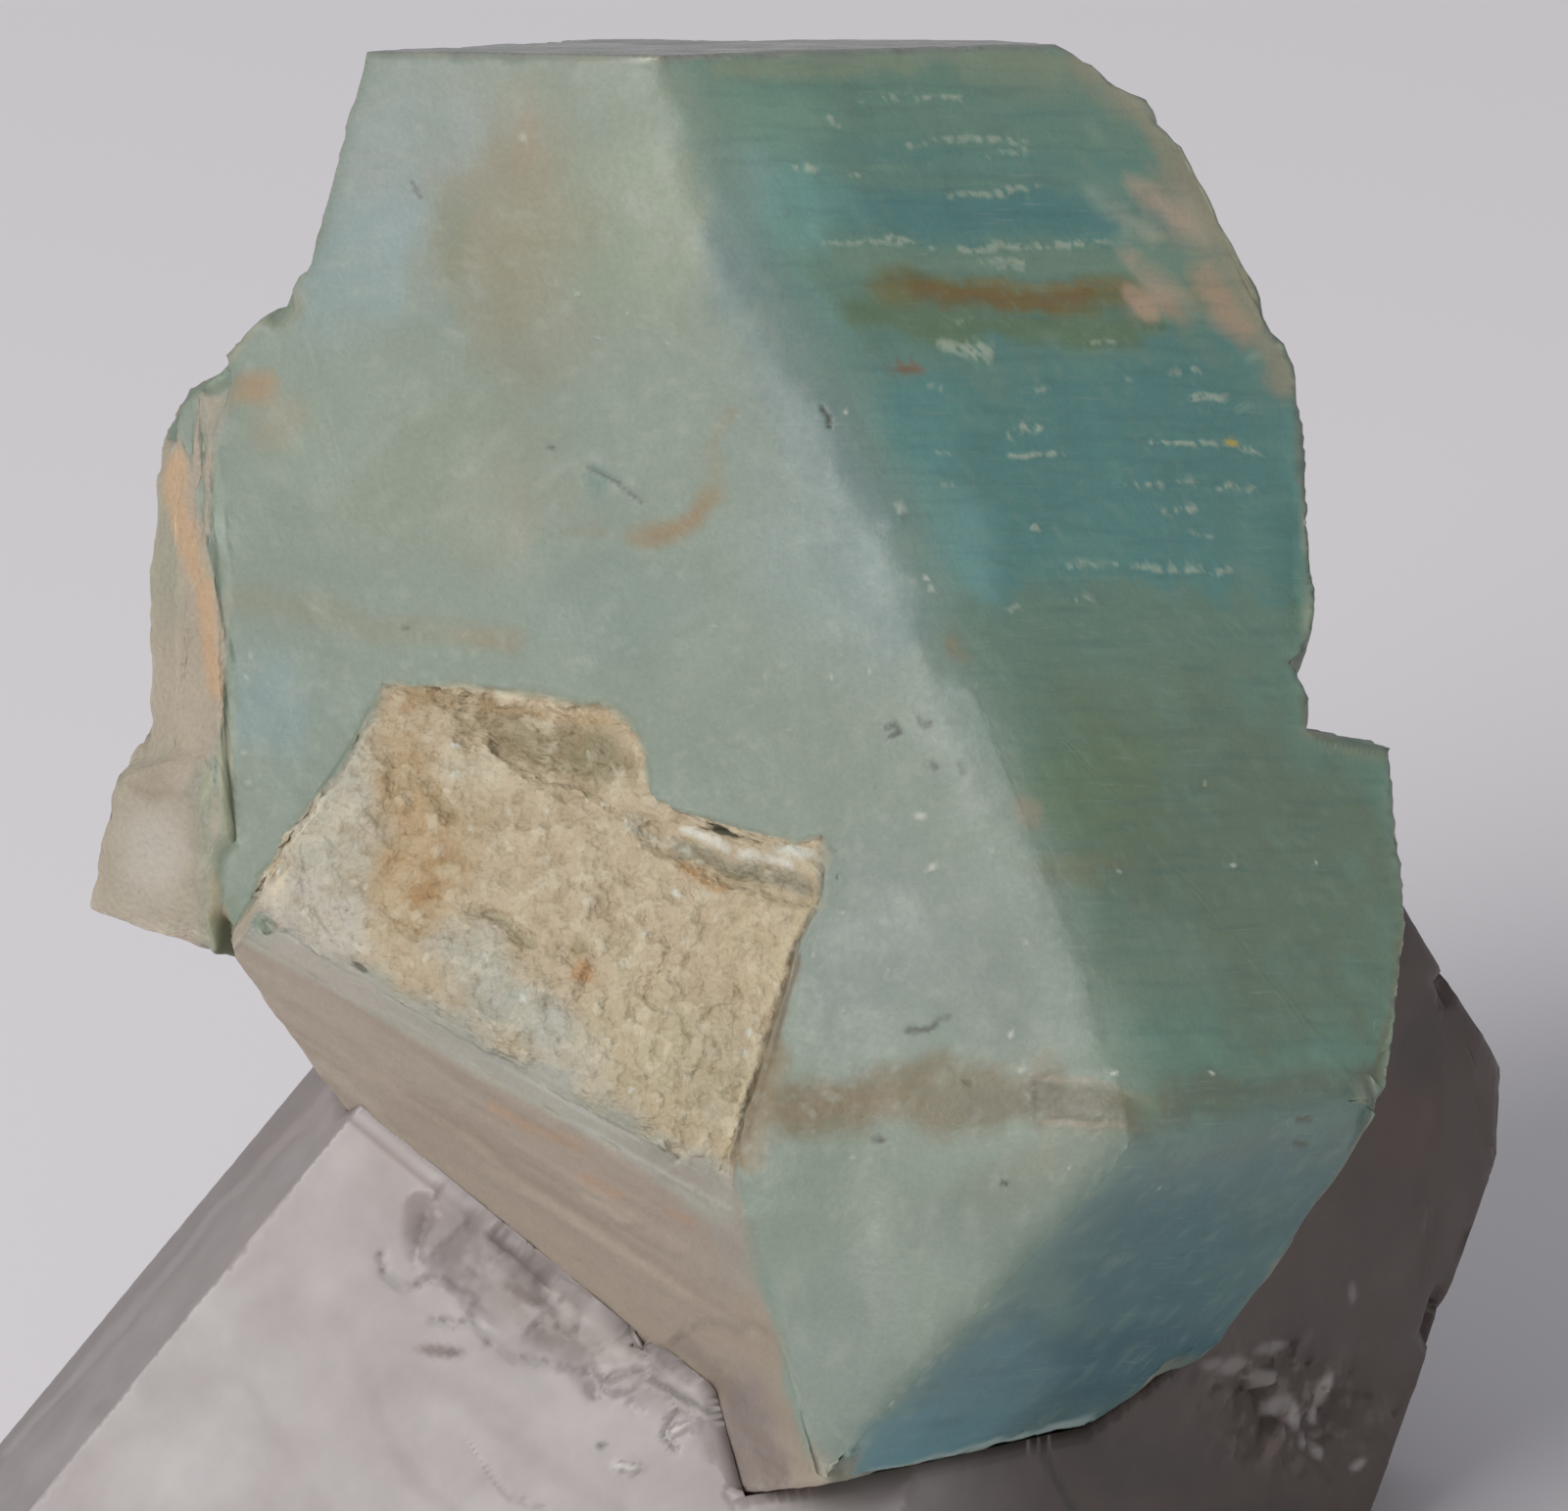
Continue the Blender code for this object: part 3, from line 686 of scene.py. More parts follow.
UNDER_RIGHT_LINES = (
    ((1171, 1172, 1290, 1160, 1400, 1148), 22, (84, 98, 88), 0.8),
    ((862, 1506, 965, 1487, 1049, 1470, 1118, 1453), 4, (150, 165, 160), 0.75),
    ((1165, 1178, 1060, 1250, 976, 1350, 900, 1440), 8, (110, 128, 115), 0.6),
    ((1343, 1313, 1396, 1225, 1407, 1168), 5, (105, 112, 100), 0.5),
)
ROUGH_PATCHES = (
    (345, 850, 62, 90, (176, 174, 159), 0.9), (320, 945, 60, 42, (184, 180, 168), 0.9),
    (480, 968, 60, 26, (174, 172, 157), 0.8, -25), (535, 1035, 82, 30, (168, 170, 159), 0.9, -28),
    (640, 1098, 50, 20, (168, 163, 140), 0.6, -30), (430, 880, 54, 66, (168, 140, 98), 0.85),
    (405, 790, 34, 50, (174, 146, 104), 0.7), (400, 715, 34, 18, (160, 128, 86), 0.7),
    (720, 1110, 60, 50, (168, 162, 140), 0.6), (450, 868, 18, 13, (158, 122, 78), 0.8, 20),
    (428, 908, 19, 13, (160, 126, 82), 0.8, -10), (770, 960, 42, 62, (188, 174, 144), 0.8),
    (680, 1080, 75, 62, (174, 163, 134), 0.8, -20), (595, 990, 11, 12, (176, 138, 96), 0.85),
    (590, 966, 12, 7, (140, 128, 92), 0.7), (810, 870, 20, 7, (202, 204, 192), 0.9, -5),
    (560, 758, 84, 24, (134, 122, 92), 0.9, -16), (500, 722, 60, 14, (134, 118, 86), 0.75, -12),
    (610, 770, 30, 30, (132, 125, 96), 0.8), (455, 785, 22, 22, (194, 184, 160), 0.6),
    (500, 787, 16, 14, (198, 188, 164), 0.7), (640, 900, 40, 26, (190, 178, 152), 0.5),
    (550, 860, 50, 22, (188, 172, 144), 0.5), (640, 975, 14, 30, (166, 160, 128), 0.4, 15),
)
ROUGH_LINES = (
    ((387, 701, 463, 714, 559, 727, 623, 736), 6, (168, 146, 112), 0.7),
    ((431, 797, 444, 812, 460, 832), 4, (150, 132, 98), 0.45),
    ((485, 928, 512, 942, 543, 960), 4, (124, 124, 98), 0.5),
    ((695, 882, 715, 890, 735, 905), 7, (184, 148, 104), 0.85),
    # Painted shade: darker grey-green under the front face's broken lip, along the crevice
    ((690, 862, 740, 880, 790, 896, 826, 904), 8, (136, 134, 114), 0.8),
    ((698, 845, 722, 856, 742, 864), 4, (208, 208, 196), 0.9),
    ((758, 871, 785, 879, 802, 884), 4, (206, 206, 194), 0.85),
    ((640, 838, 690, 858, 700, 866), 4, (190, 190, 176), 0.6),
    ((836, 920, 819, 951, 803, 996, 787, 1047, 771, 1104, 744, 1180), 5, (150, 128, 92), 0.6),
    # Painted highlight: a pale rim along the block's raised right edge
    ((824, 916, 808, 951, 792, 996, 776, 1047, 760, 1104, 736, 1172), 5, (196, 184, 150), 0.5),
    ((387, 701, 374, 743, 336, 800, 307, 838), 5, (186, 180, 160), 0.5),
    ((269, 896, 300, 992, 379, 1039), 6, (196, 190, 176), 0.5),
)
STRIP_PATCHES = (
    (330, 1000, 60, 26, (168, 160, 148), 0.8, -30), (540, 1060, 90, 22, (168, 171, 162), 0.8, -25),
    (690, 1190, 60, 24, (150, 144, 133), 0.8, -30), (450, 1090, 60, 16, (160, 154, 141), 0.6, -30),
)
UNDER_LINES = (
    ((500, 1128, 545, 1150, 590, 1172), 5, (166, 136, 108), 0.5),
    ((596, 1200, 612, 1210, 632, 1218), 4, (166, 134, 106), 0.55),
    ((680, 1240, 700, 1250), 4, (164, 134, 108), 0.5),
    ((748, 1200, 754, 1265, 770, 1320, 792, 1390, 816, 1455, 836, 1505), 16, (152, 142, 125), 0.7),
    ((744, 1195, 735, 1235, 748, 1290), 22, (146, 142, 134), 0.6),
    ((752, 1436, 766, 1480, 780, 1520), 24, (138, 128, 124), 0.8),
    ((700, 1375, 745, 1415, 790, 1500), 10, (120, 108, 102), 0.5),
    ((600, 1222, 640, 1244), 4, (176, 166, 150), 0.7),
    ((420, 1120, 520, 1185, 640, 1270, 735, 1335), 5, (140, 126, 112), 0.5),
    ((345, 1075, 450, 1140, 560, 1225, 700, 1320), 4, (166, 154, 138), 0.4),
    ((330, 1090, 392, 1150, 443, 1212, 520, 1276), 6, (170, 160, 146), 0.4),
)
# Outlines of the block's broken front and of the deeper ledge at its top, and the crack above it
ROUGH_OUTLINE = (
    387, 698, 463, 710, 559, 723, 625, 732, 645, 768, 648, 808, 690, 830, 745, 846, 808, 862,
    856, 850, 846, 882, 836, 916, 819, 951, 803, 996, 787, 1047, 771, 1104, 755, 1149, 742, 1192,
    640, 1150, 540, 1095, 440, 1040, 360, 990, 290, 950, 262, 930, 266, 896, 288, 867, 307, 838,
    336, 800, 374, 743,
)
LEDGE_OUTLINE = (470, 716, 559, 728, 623, 738, 637, 768, 637, 815, 600, 802, 540, 780, 500, 756)
CREVICE = (686, 858, 720, 876, 770, 893, 822, 905)
# The ridge between the front and the right faces
RIDGE = (
    725, 165, 770, 250, 820, 340, 870, 420, 900, 480, 940, 560, 972, 622, 990, 690, 1020, 750,
    1045, 820, 1095, 960, 1128, 1050,
)
# The edge of the slope from the block to the front face, which is worn smooth
BLOCK_END = (706, 1168, 686, 1192, 662, 1240, 635, 1290, 610, 1340)
# Where the block's right end runs into the front face, and how far round it the surface is moved
SEAM = (
    838, 900, 836, 920, 819, 951, 803, 996, 787, 1047, 771, 1104, 744, 1190, 752, 1265, 768, 1310,
    790, 1385, 812, 1450, 835, 1509,
)
SEAM_ZONE = (
    848, 900, 905, 905, 990, 1010, 960, 1210, 880, 1345, 790, 1352, 720, 1345, 650, 1384,
    606, 1360, 650, 1262, 700, 1165, 735, 1090, 775, 985, 812, 905,
)
# Outline of the block's underside
UNDER_OUTLINE = (
    262, 1000, 500, 1112, 743, 1195, 752, 1265, 768, 1310, 790, 1385, 812, 1450, 838, 1515,
    760, 1540, 600, 1480, 250, 1120,
)
# In millimetres: how round the block's edges are, how deep its ledge is, the highest step that is
# evened out at the seam, how far to each side that runs, and half the seam's own width
BLOCK_WEAR = 0.25
LEDGE_DEPTH = 0.22
MOST_STEP = 4.0
SLOPE_LEFT, SLOPE_RIGHT = 9.0, 5.0
SEAM_WIDTH = 0.15
# Outline of the sliver at the left, and the narrow gap between it and the front
SLIVER_OUTLINE = (
    154, 440, 120, 460, 110, 640, 120, 790, 70, 900, 80, 980, 243, 1000, 205, 969, 192, 806,
    225, 742, 225, 640, 186, 469, 176, 448,
)
SLIT = (186, 469, 225, 640, 225, 742, 196, 806, 205, 969)
# How much more or less light each face gets than one that faces the same way in the open
LIT = {
    "right": 0.84, "under right": 1.2, "under": 0.84, "rough": 0.74, "top": 1.2,
    "strip": 0.86, "sliver": 0.86,
}
SLIVER_PATCHES = (
    (163, 560, 16, 90, (158, 155, 136), 0.85), (180, 730, 34, 60, (178, 165, 146), 0.8),
    (150, 870, 34, 50, (186, 180, 167), 0.85), (150, 945, 50, 12, (172, 163, 146), 0.7, -8),
    (150, 800, 14, 18, (164, 150, 128), 0.5),
)
SLIVER_LINES = (
    ((174, 469, 187, 540, 203, 600, 210, 640, 216, 700), 9, (194, 164, 130), 0.95),
    ((205, 775, 192, 806, 198, 870, 203, 965), 5, (150, 148, 130), 0.6),
    ((125, 800, 150, 812, 190, 806), 3, (150, 140, 120), 0.6),
)


# Building a stone


def boosted(colour, co, seed):
    """Slow and fine changes of tone over the whole stone."""
    slow = fbm(co, 5.0, seed, 3)[:, None]
    fine = fbm(co, 0.35, seed + 5, 2)[:, None]
    return colour * (1.0 + 0.04 * slow + 0.02 * fine)


def inside_cad(front):
    """World points, none of them outside the part's own box."""
    low, high = np.array(CAD_BOX[0]), np.array(CAD_BOX[1])
    return np.clip(to_world(front), low, high)


def make_piece(name, node, front, tri, colour, numbers):
    """A piece that takes its node's place, with its colour and numbers kept on its points."""
    mesh = bpy.data.meshes.new(name)
    mesh.from_pydata(inside_cad(front).tolist(), [], tri.tolist())
    mesh.update()
    for polygon in mesh.polygons:
        polygon.use_smooth = True
    rgba = np.concatenate([np.clip(colour, 0.0, 1.0), np.ones((len(front), 1))], axis=1)
    layer = mesh.color_attributes.new("tone", "FLOAT_COLOR", "POINT")
    layer.data.foreach_set("color", rgba.reshape(-1))
    for key, values in numbers.items():
        extra = mesh.attributes.new(key, "FLOAT", "POINT")
        extra.data.foreach_set("value", np.clip(values, 0.0, 1.0))
    piece = bpy.data.objects.new(name, mesh)
    bpy.context.scene.collection.objects.link(piece)
    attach(piece, "root")
    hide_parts(node)
    return piece


def marks_map():
    """Finer cells where the amazonite has its crust and its small marks."""
    fine = DetailMap(0.74)
    for points in ((300, 960, 740, 1150), (320, 860, 790, 1040), (400, 740, 820, 900)):
        fine.along(points, 2.6, 0.27)
    for points, width, _ in FLECKS + DARKS:
        fine.along(points, width * PIXEL + 0.08, 0.19)
    for points, width, _ in GROOVES:
        fine.along(points, width * PIXEL + 0.15, 0.28)
    for u, v, radius, _ in SPECKS_AND_GLINTS:
        fine.dab(*at(u, v), radius * PIXEL * 0.6 + 0.06, 0.16)
    lines = FRONT_LINES + RIGHT_LINES + UNDER_RIGHT_LINES + ROUGH_LINES + UNDER_LINES + SLIVER_LINES
    for points, width, _, _ in lines:
        if width < 12:
            fine.along(points, width * PIXEL + 0.1, 0.38)
    return fine


def stone_mesh(node, fine, deep, coarse, edge):
    """The node's mesh, fine in front of depth deep, coarse behind it, with edge at sharp edges."""
    co, tri = node_arrays(node)
    label = label_faces(co, tri)

    def want(p, near):
        length = np.where(p[:, 1] < deep, fine.read(p), coarse)
        return np.where(near, np.minimum(length, edge), length)

    return refine(co, tri, label, want)


def rim_of(co, tri):
    edges, te = edges_of(tri)
    rim = np.zeros(len(co))
    rim[edges[sharp_edges(co, tri, edges, te)].reshape(-1)] = 1.0
    return edges, rim


def streaks(p, slope, pitch, length, seed):
    """Fine lines that rise by slope to the right, from -1 to 1."""
    across = p[:, 2] - slope * p[:, 0]
    q = np.stack([p[:, 0] / length, np.zeros(len(p)), across / pitch], axis=1)
    return noise(q, 1.0, seed) * 0.6 + noise(q * (2.1, 1.0, 2.3), 1.0, seed + 3) * 0.4


def amazonite():
    co, tri, label = stone_mesh("amazonite", marks_map(), 1.0, 1.4, 0.60)
    edges, rim = rim_of(co, tri)
    face = label_weights(len(co), tri, label)
    a = face["front"] + face["front low"] + face["band"]
    b = face["right"] + face["lower right"]
    c = face["under right"]
    u = face["under"] + face["under hull"]
    v = face["strip"]
    s = face["low left"]
    r = face["rough"]
    l = face["sliver"] + face["low sliver"]
    t = face["top"]
    rest = np.clip(1.0 - a - b - c - u - v - s - r - l - t, 0.0, 1.0)

    # Worn edges, then the relief of each face
    near = spread(edges, rim, 2)
    co = rounded(co, MAIN_FACES, 0.9, np.clip(a + b + c, 0, 1))
    co = rounded(co, BLOCK_FACES, 0.30, np.clip(r + v + u, 0, 1))
    co = soften(co, edges, 0.15 + 0.35 * near, 3)
    paint = Paint(co, (140, 154, 141))
    front_side = co[:, 1] < 0.0
    co = soften(co, edges, 0.6 * paint.trace(SLIT, 22, 0.7, 1.6, 0.0) * front_side, 40)

    # The block's front is evened out, then set to the depth of its worn faces and seam
    zone = paint.zone(ROUGH_OUTLINE, 0.10, 0.12)
    zone = np.maximum(zone, 0.85 * paint.zone(LEDGE_OUTLINE, 0.7, 0.2))
    level, _, _ = block_level(co, 0.0)
    seam_zone = paint.zone(SEAM_ZONE, 0.15) * (co[:, 1] < BLOCK_Y)
    on_block = np.clip(1.0 - u - s, 0.0, 1.0) * (np.abs(co[:, 1] - level) < 4.0)
    pulled = np.maximum(zone * on_block, seam_zone)
    for _ in range(160):
        flat = neighbour_mean(edges, co[:, [0, 2]])
        co[:, [0, 2]] += (flat - co[:, [0, 2]]) * 0.6 * pulled[:, None]
    paint.refresh(co)
    ledge = paint.zone(LEDGE_OUTLINE, 0.5, 0.3)
    level, beyond, (rough_y, strip_y, under_y) = block_level(co, ledge)
    co[:, 1] += (level - co[:, 1]) * pulled
    co = soften(co, edges, 0.30 * np.maximum(pulled, l), 3)

    # Which face each point now belongs to
    waver = 0.25 * fbm(co, 1.2, 57, 3)
    tan_side = smooth(-0.45, 0.25, rough_y - strip_y + waver) * smooth(-0.2, 0.3, rough_y - under_y)
    brown_side = smooth(-0.1, 0.4, under_y - strip_y + 0.5 * waver) * (1.0 - tan_side)
    block_side = pulled * (1.0 - smooth(-0.1, 0.1, beyond + 0.3 * waver))
    r = block_side * tan_side
    u = np.maximum(u * (1.0 - block_side), block_side * brown_side)
    v = np.maximum(v * (1.0 - block_side), block_side * (1.0 - brown_side - tan_side))
    under_zone = paint.zone(UNDER_OUTLINE, 0.5, 0.25) * front_side * (1.0 - r) * (1.0 - v)
    u = np.maximum(u, under_zone)
    l = np.maximum(l, paint.zone(SLIVER_OUTLINE, 0.12, 0.1) * (co[:, 1] < -2.0))
    a = np.maximum(a, seam_zone) * (1.0 - block_side) * (1.0 - u) * (1.0 - l)
    s = s * (1.0 - l) * (1.0 - u)
    rest = rest * (1.0 - l) * (1.0 - pulled) * (1.0 - u)
    near = near * (1.0 - seam_zone) * (1.0 - smooth(0.75, 1.0, a + b + c))
    ridge = paint.trace(RIDGE, 30, 0.7, 1.5, 0.0) * np.clip(a + b, 0.0, 1.0)
    spur = paint.oval(974, 640, 30, 48, turn=25.0, soft=0.4, ragged=0.0) * front_side
    old_edge = paint.trace(BLOCK_END, 34, 0.8, 1.6, 0.0) * (co[:, 1] < BLOCK_Y)
    co = soften(co, edges, 0.55 * ridge, 40)
    co = soften(co, edges, 0.65 * np.maximum(spur, old_edge), 60)
    n = vertex_normals(co, tri)
    even = unit(blurred(edges, n, 4))
    n = n + (even - n) * pulled[:, None]
    shine = daylight(even)
    paint.refresh(co)

    lift = 0.05 * fbm(co, 3.0, 11, 3) + 0.012 * fbm(co, 0.5, 12, 2)
    for depth, slope, pitch, length, seed in (
        (b * 0.030, 0.02, 0.28, 3.0, 21), (c * 0.035, 0.20, 0.30, 4.0, 25),
        (u * 0.050, -0.62, 0.45, 5.0, 29), (v * 0.040, -0.55, 0.5, 3.0, 33),
    ):
        lift += depth * streaks(co, slope, pitch, length, seed)
    lift += rest * (0.10 * fbm(co, 1.6, 41, 4) + 0.05 * streaks(co, 0.0, 0.9, 6.0, 43))
    lift += l * (0.10 * fbm(co, 0.9, 47, 3))
    crusty = np.flatnonzero(r > 0.01)
    chips = np.zeros((4, len(co)))
    chips[:2, crusty] = facets(co[crusty], 0.75, 401)
    chips[2:, crusty] = facets(co[crusty], 0.38, 421)
    chip, chip_tone, small, small_tone = chips
    patchy = smooth(-0.3, 0.5, fbm(co, 2.4, 59, 3))
    lift += r * (0.10 * fbm(co, 2.2, 53, 3) + 0.55 * chip * patchy + 0.45 * small + 0.02)
    lift -= near * (1.0 - r) * 0.10 * smooth(0.1, 0.9, fbm(co, 0.9, 61, 3))
    lift -= r * 0.16 * paint.trace(CREVICE, 9, 0.3, 1.5, 0.8)
    broken = smooth(-0.45, 0.25, fbm(co, 0.26, 71, 3))
    fleck = paint.marks(FLECKS, 0.4, 1.5, 0.9) * broken
    lift += b * 0.03 * fleck
    # White chips and painted glints, raised a little
    speck_and_glint = np.zeros(len(co))
    for k, (su, sv, radius, strength) in enumerate(SPECKS_AND_GLINTS):
        oval = paint.oval(su, sv, radius * 0.75, radius * 0.42, 37.0 * k, 0.7, 1.0)
        speck_and_glint = np.maximum(speck_and_glint, oval * strength)
    lift += 0.03 * speck_and_glint
    for points, width, depth in GROOVES:
        lift -= r * depth * paint.trace(points, width, 0.2, 1.6, 0.7)
    ahead = 1.0 - smooth(1.5, 3.0, co[:, 1])
    dark = paint.marks(DARKS, 0.4, 1.4, 0.4) * ahead
    lift -= 0.05 * dark
    co = co + n * lift[:, None]

    # Colour, face by face
    def fill(mask, ground, patches=(), lines=(), depth=ahead):
        paint.lay(mask, ground)
        for patch in patches:
            paint.patch(mask * depth, *patch)
        for line in lines:
            paint.line(mask * depth, *line)

    away, _ = face_levels(co, MAIN_FACES)
    away += np.stack([fbm(co, 2.0, 300 + 7 * k, 3) * 0.22 for k in range(4)], axis=1)
    away[:, 1] += 0.45 * streaks(co, 0.02, 0.7, 5.0, 331)
    share = np.exp((away - away.max(axis=1)[:, None]) / np.array((0.85, 0.85, 0.85, 0.40)))
    share *= (blurred(edges, np.clip(a + b + c, 0.0, 1.0), 1) / share.sum(axis=1))[:, None]
    soft_a, soft_b, soft_c = share[:, 0], share[:, 1] + share[:, 2], share[:, 3]
    soft_r, soft_v, soft_u = blurred(edges, r, 2), blurred(edges, v, 5), blurred(edges, u, 3)
    paint.lay(rest, (138, 152, 136))
    paint.mottle(co, (
        (rest, 0.0, 0.7, 6.0, 81, 3, (156, 158, 134)),
        (rest * 0.6, 0.0, 0.9, 3.5, 85, 4, (112, 142, 133)),
        (rest * 0.55, 0.15, 0.9, 2.2, 88, 4, (168, 152, 122)),
    ))
    fill(soft_b, (98, 124, 111), RIGHT_PATCHES, RIGHT_LINES, 1.0)
    fill(soft_a, (143, 157, 142), FRONT_PATCHES, FRONT_LINES)
    fill(soft_c, (68, 93, 94), UNDER_RIGHT_PATCHES, UNDER_RIGHT_LINES, 1.0)
    fill(t, (146, 150, 141))
    paint.mottle(co, (
        (t * 0.5, 0.0, 0.8, 2.6, 91, 4, (128, 138, 130)),
        (t * 0.4, 0.1, 0.8, 1.4, 95, 3, (170, 170, 158)),
    ))
    fill(soft_u, (152, 140, 126), lines=UNDER_LINES)
    paint.streak(co, (
        (soft_u * 0.32, 0.0, 0.8, -0.62, 0.30, 6.0, 131, (168, 156, 142)),
        (soft_u * 0.28, 0.1, 0.8, -0.62, 0.22, 5.0, 135, (138, 121, 106)),
    ))
    fill(s, (134, 154, 142), lines=(((745, 1200, 770, 1320, 800, 1440), 14, (152, 142, 124), 0.5),))
    fill(l, (172, 162, 144), SLIVER_PATCHES, SLIVER_LINES)
    fill(soft_r, (182, 167, 140), ROUGH_PATCHES, ROUGH_LINES)
    fill(soft_v, (160, 157, 146), STRIP_PATCHES)
    paint.streak(co, ((soft_v * 0.4, 0.1, 0.8, -0.55, 0.25, 4.0, 139, (186, 186, 178)),))
    paint.mottle(co, (
        (soft_r * 0.30, 0.1, 0.8, 0.9, 143, 3, (198, 187, 160)),
        (soft_r * 0.30, 0.2, 0.8, 0.8, 147, 3, (150, 130, 96)),
    ))
    paint.lay(soft_r * 0.40 * smooth(0.5, 1.0, small_tone), (206, 198, 174))
    paint.lay(soft_r * 0.28 * smooth(0.5, 1.0, -small_tone), (146, 130, 100))
    paint.lay(soft_r * 0.25 * smooth(0.4, 1.0, -chip_tone), (162, 142, 108))

    # Blue and brown lamellae, pale flecks, white chips with painted glints, dark specks
    paint.streak(co, (
        (soft_b * 0.20, 0.1, 0.9, 0.02, 0.22, 4.0, 151, (72, 108, 108)),
        (soft_b * 0.22, 0.2, 0.9, 0.02, 0.16, 3.0, 155, (122, 146, 132)),
        (soft_c * 0.40, 0.1, 0.9, 0.20, 0.26, 5.0, 159, (50, 78, 84)),
        (soft_c * 0.30, 0.2, 0.9, 0.20, 0.18, 4.0, 163, (104, 132, 130)),
    ))
    grain = smooth(0.35, 0.8, fbm(co, 0.28, 167, 2))
    paint.lay(soft_a * 0.30 * grain, (172, 180, 166))
    paint.lay((soft_b + soft_c) * 0.25 * grain, (116, 134, 120))
    paint.lay(soft_b * smooth(0.0, 0.3, fleck) * 0.25, (120, 142, 126))
    paint.lay(soft_b * fleck * 0.62, (168, 174, 158))
    # White chips and painted glints of light, in front
    paint.lay(ahead * speck_and_glint * 0.9, (204, 206, 194))
    paint.lay(dark, (70, 74, 62))
    outline = np.clip(near * (1.0 - soft_r), 0.0, 1.0)
    paint.mottle(co, ((outline * 0.35, -0.2, 0.6, 1.2, 171, 3, (172, 170, 150)),))

    # More colour on the right faces, then the paint is cleared of the light that falls on it
    grey = paint.colour.mean(axis=1)[:, None]
    paint.colour += (paint.colour - grey) * (0.22 * soft_b + 0.25 * soft_c)[:, None]
    lit = 1.0
    for mask, name in (
        (soft_b, "right"), (soft_c, "under right"), (soft_u, "under"),
        (soft_v, "strip"), (soft_r, "rough"), (l, "sliver"),
    ):
        lit = lit + mask * (LIT[name] - 1.0)
    lit = lit * shine * (1.0 - rest - t) + 1.25 * rest + LIT["top"] * t
    paint.colour = paint.colour / lit[:, None]

    finish = 0.5 + 0.10 * (r + l) - 0.14 * b - 0.16 * c - 0.22 * t + 0.08 * fbm(co, 1.4, 175, 3)
    numbers = {"finish": finish, "crust": r + 0.6 * l, "lamellae": soft_b + 0.5 * soft_c}
    return make_piece("Amazonite", "amazonite", co, tri, boosted(paint.colour, co, 181), numbers)


# Patches of colour on the quartz's front; the dark ones at the right and along the bottom are
# partly its smoky brown and partly painted shade under the amazonite
QUARTZ_PATCHES = (
    (200, 1470, 110, 60, (191, 185, 185), 0.7, 40), (60, 1520, 60, 30, (178, 168, 168), 0.6, 40),
    (300, 1290, 90, 60, (182, 172, 170), 0.5, 50), (400, 1210, 70, 30, (176, 162, 156), 0.7, -42),
    (560, 1345, 90, 26, (172, 160, 152), 0.6, -30), (520, 1480, 110, 50, (178, 168, 166), 0.6),
    (470, 1420, 60, 14, (156, 144, 142), 0.4, -25), (700, 1500, 60, 40, (164, 154, 152), 0.6),
    (820, 1530, 60, 24, (138, 130, 126), 0.7), (448, 1379, 23, 6, (104, 78, 68), 0.95, -4),
    (462, 1381, 9, 4, (74, 54, 50), 0.9, -8), (613, 1476, 5, 4, (66, 56, 52), 0.95),
    (1440, 1160, 42, 60, (108, 82, 68), 0.6, 10), (1470, 1060, 30, 50, (68, 56, 52), 0.6, -20),
    (1505, 1220, 18, 30, (112, 96, 88), 0.6), (1465, 1240, 40, 40, (88, 73, 66), 0.6),
    (1480, 1330, 30, 30, (84, 70, 64), 0.6), (1330, 1430, 90, 60, (96, 82, 75), 0.6),
    (1180, 1500, 80, 40, (76, 64, 60), 0.6),
)
QUARTZ_LINES = (
    ((336, 1114, 180, 1285, 0, 1488), 5, (196, 186, 184), 0.5),
    ((345, 1350, 372, 1420, 420, 1500, 460, 1542), 10, (160, 149, 147), 0.5),
    ((250, 1420, 300, 1500, 330, 1542), 7, (164, 154, 152), 0.35),
    ((480, 1440, 560, 1500, 640, 1542), 8, (158, 147, 145), 0.45),
    ((120, 1420, 200, 1360, 280, 1310), 16, (190, 184, 184), 0.35),
    ((30, 1500, 130, 1440), 12, (192, 186, 186), 0.35),
    ((1057, 1475, 1075, 1508, 1095, 1542), 4, (52, 42, 40), 0.8),
    ((1519, 1044, 1541, 1090, 1538, 1137), 6, (96, 84, 80), 0.7),
    ((1535, 1247, 1515, 1291, 1497, 1331), 5, (60, 46, 42), 0.8),
)
# Cracks and chip edges where the amazonite meets the quartz: (points, width, strength)
CRACKS = (
    ((500, 1262, 539, 1298, 587, 1323, 649, 1361, 687, 1380, 726, 1396, 748, 1415), 4, 0.9),
    ((388, 1280, 392, 1302, 415, 1316, 440, 1306, 462, 1310, 478, 1335, 500, 1372), 3, 0.5),
    ((545, 1305, 552, 1325, 566, 1345), 5, 0.6),
    ((440, 1350, 480, 1352, 520, 1385, 560, 1392, 610, 1402), 3, 0.5),
    ((655, 1365, 672, 1385, 706, 1396), 3, 0.7),
    ((665, 1410, 700, 1430, 738, 1448, 765, 1446), 4, 0.8),
    ((600, 1400, 625, 1412, 655, 1400), 2.5, 0.5), ((690, 1440, 676, 1465, 690, 1480), 2.5, 0.5),
    ((470, 1470, 520, 1530, 560, 1542), 2.5, 0.25),
)
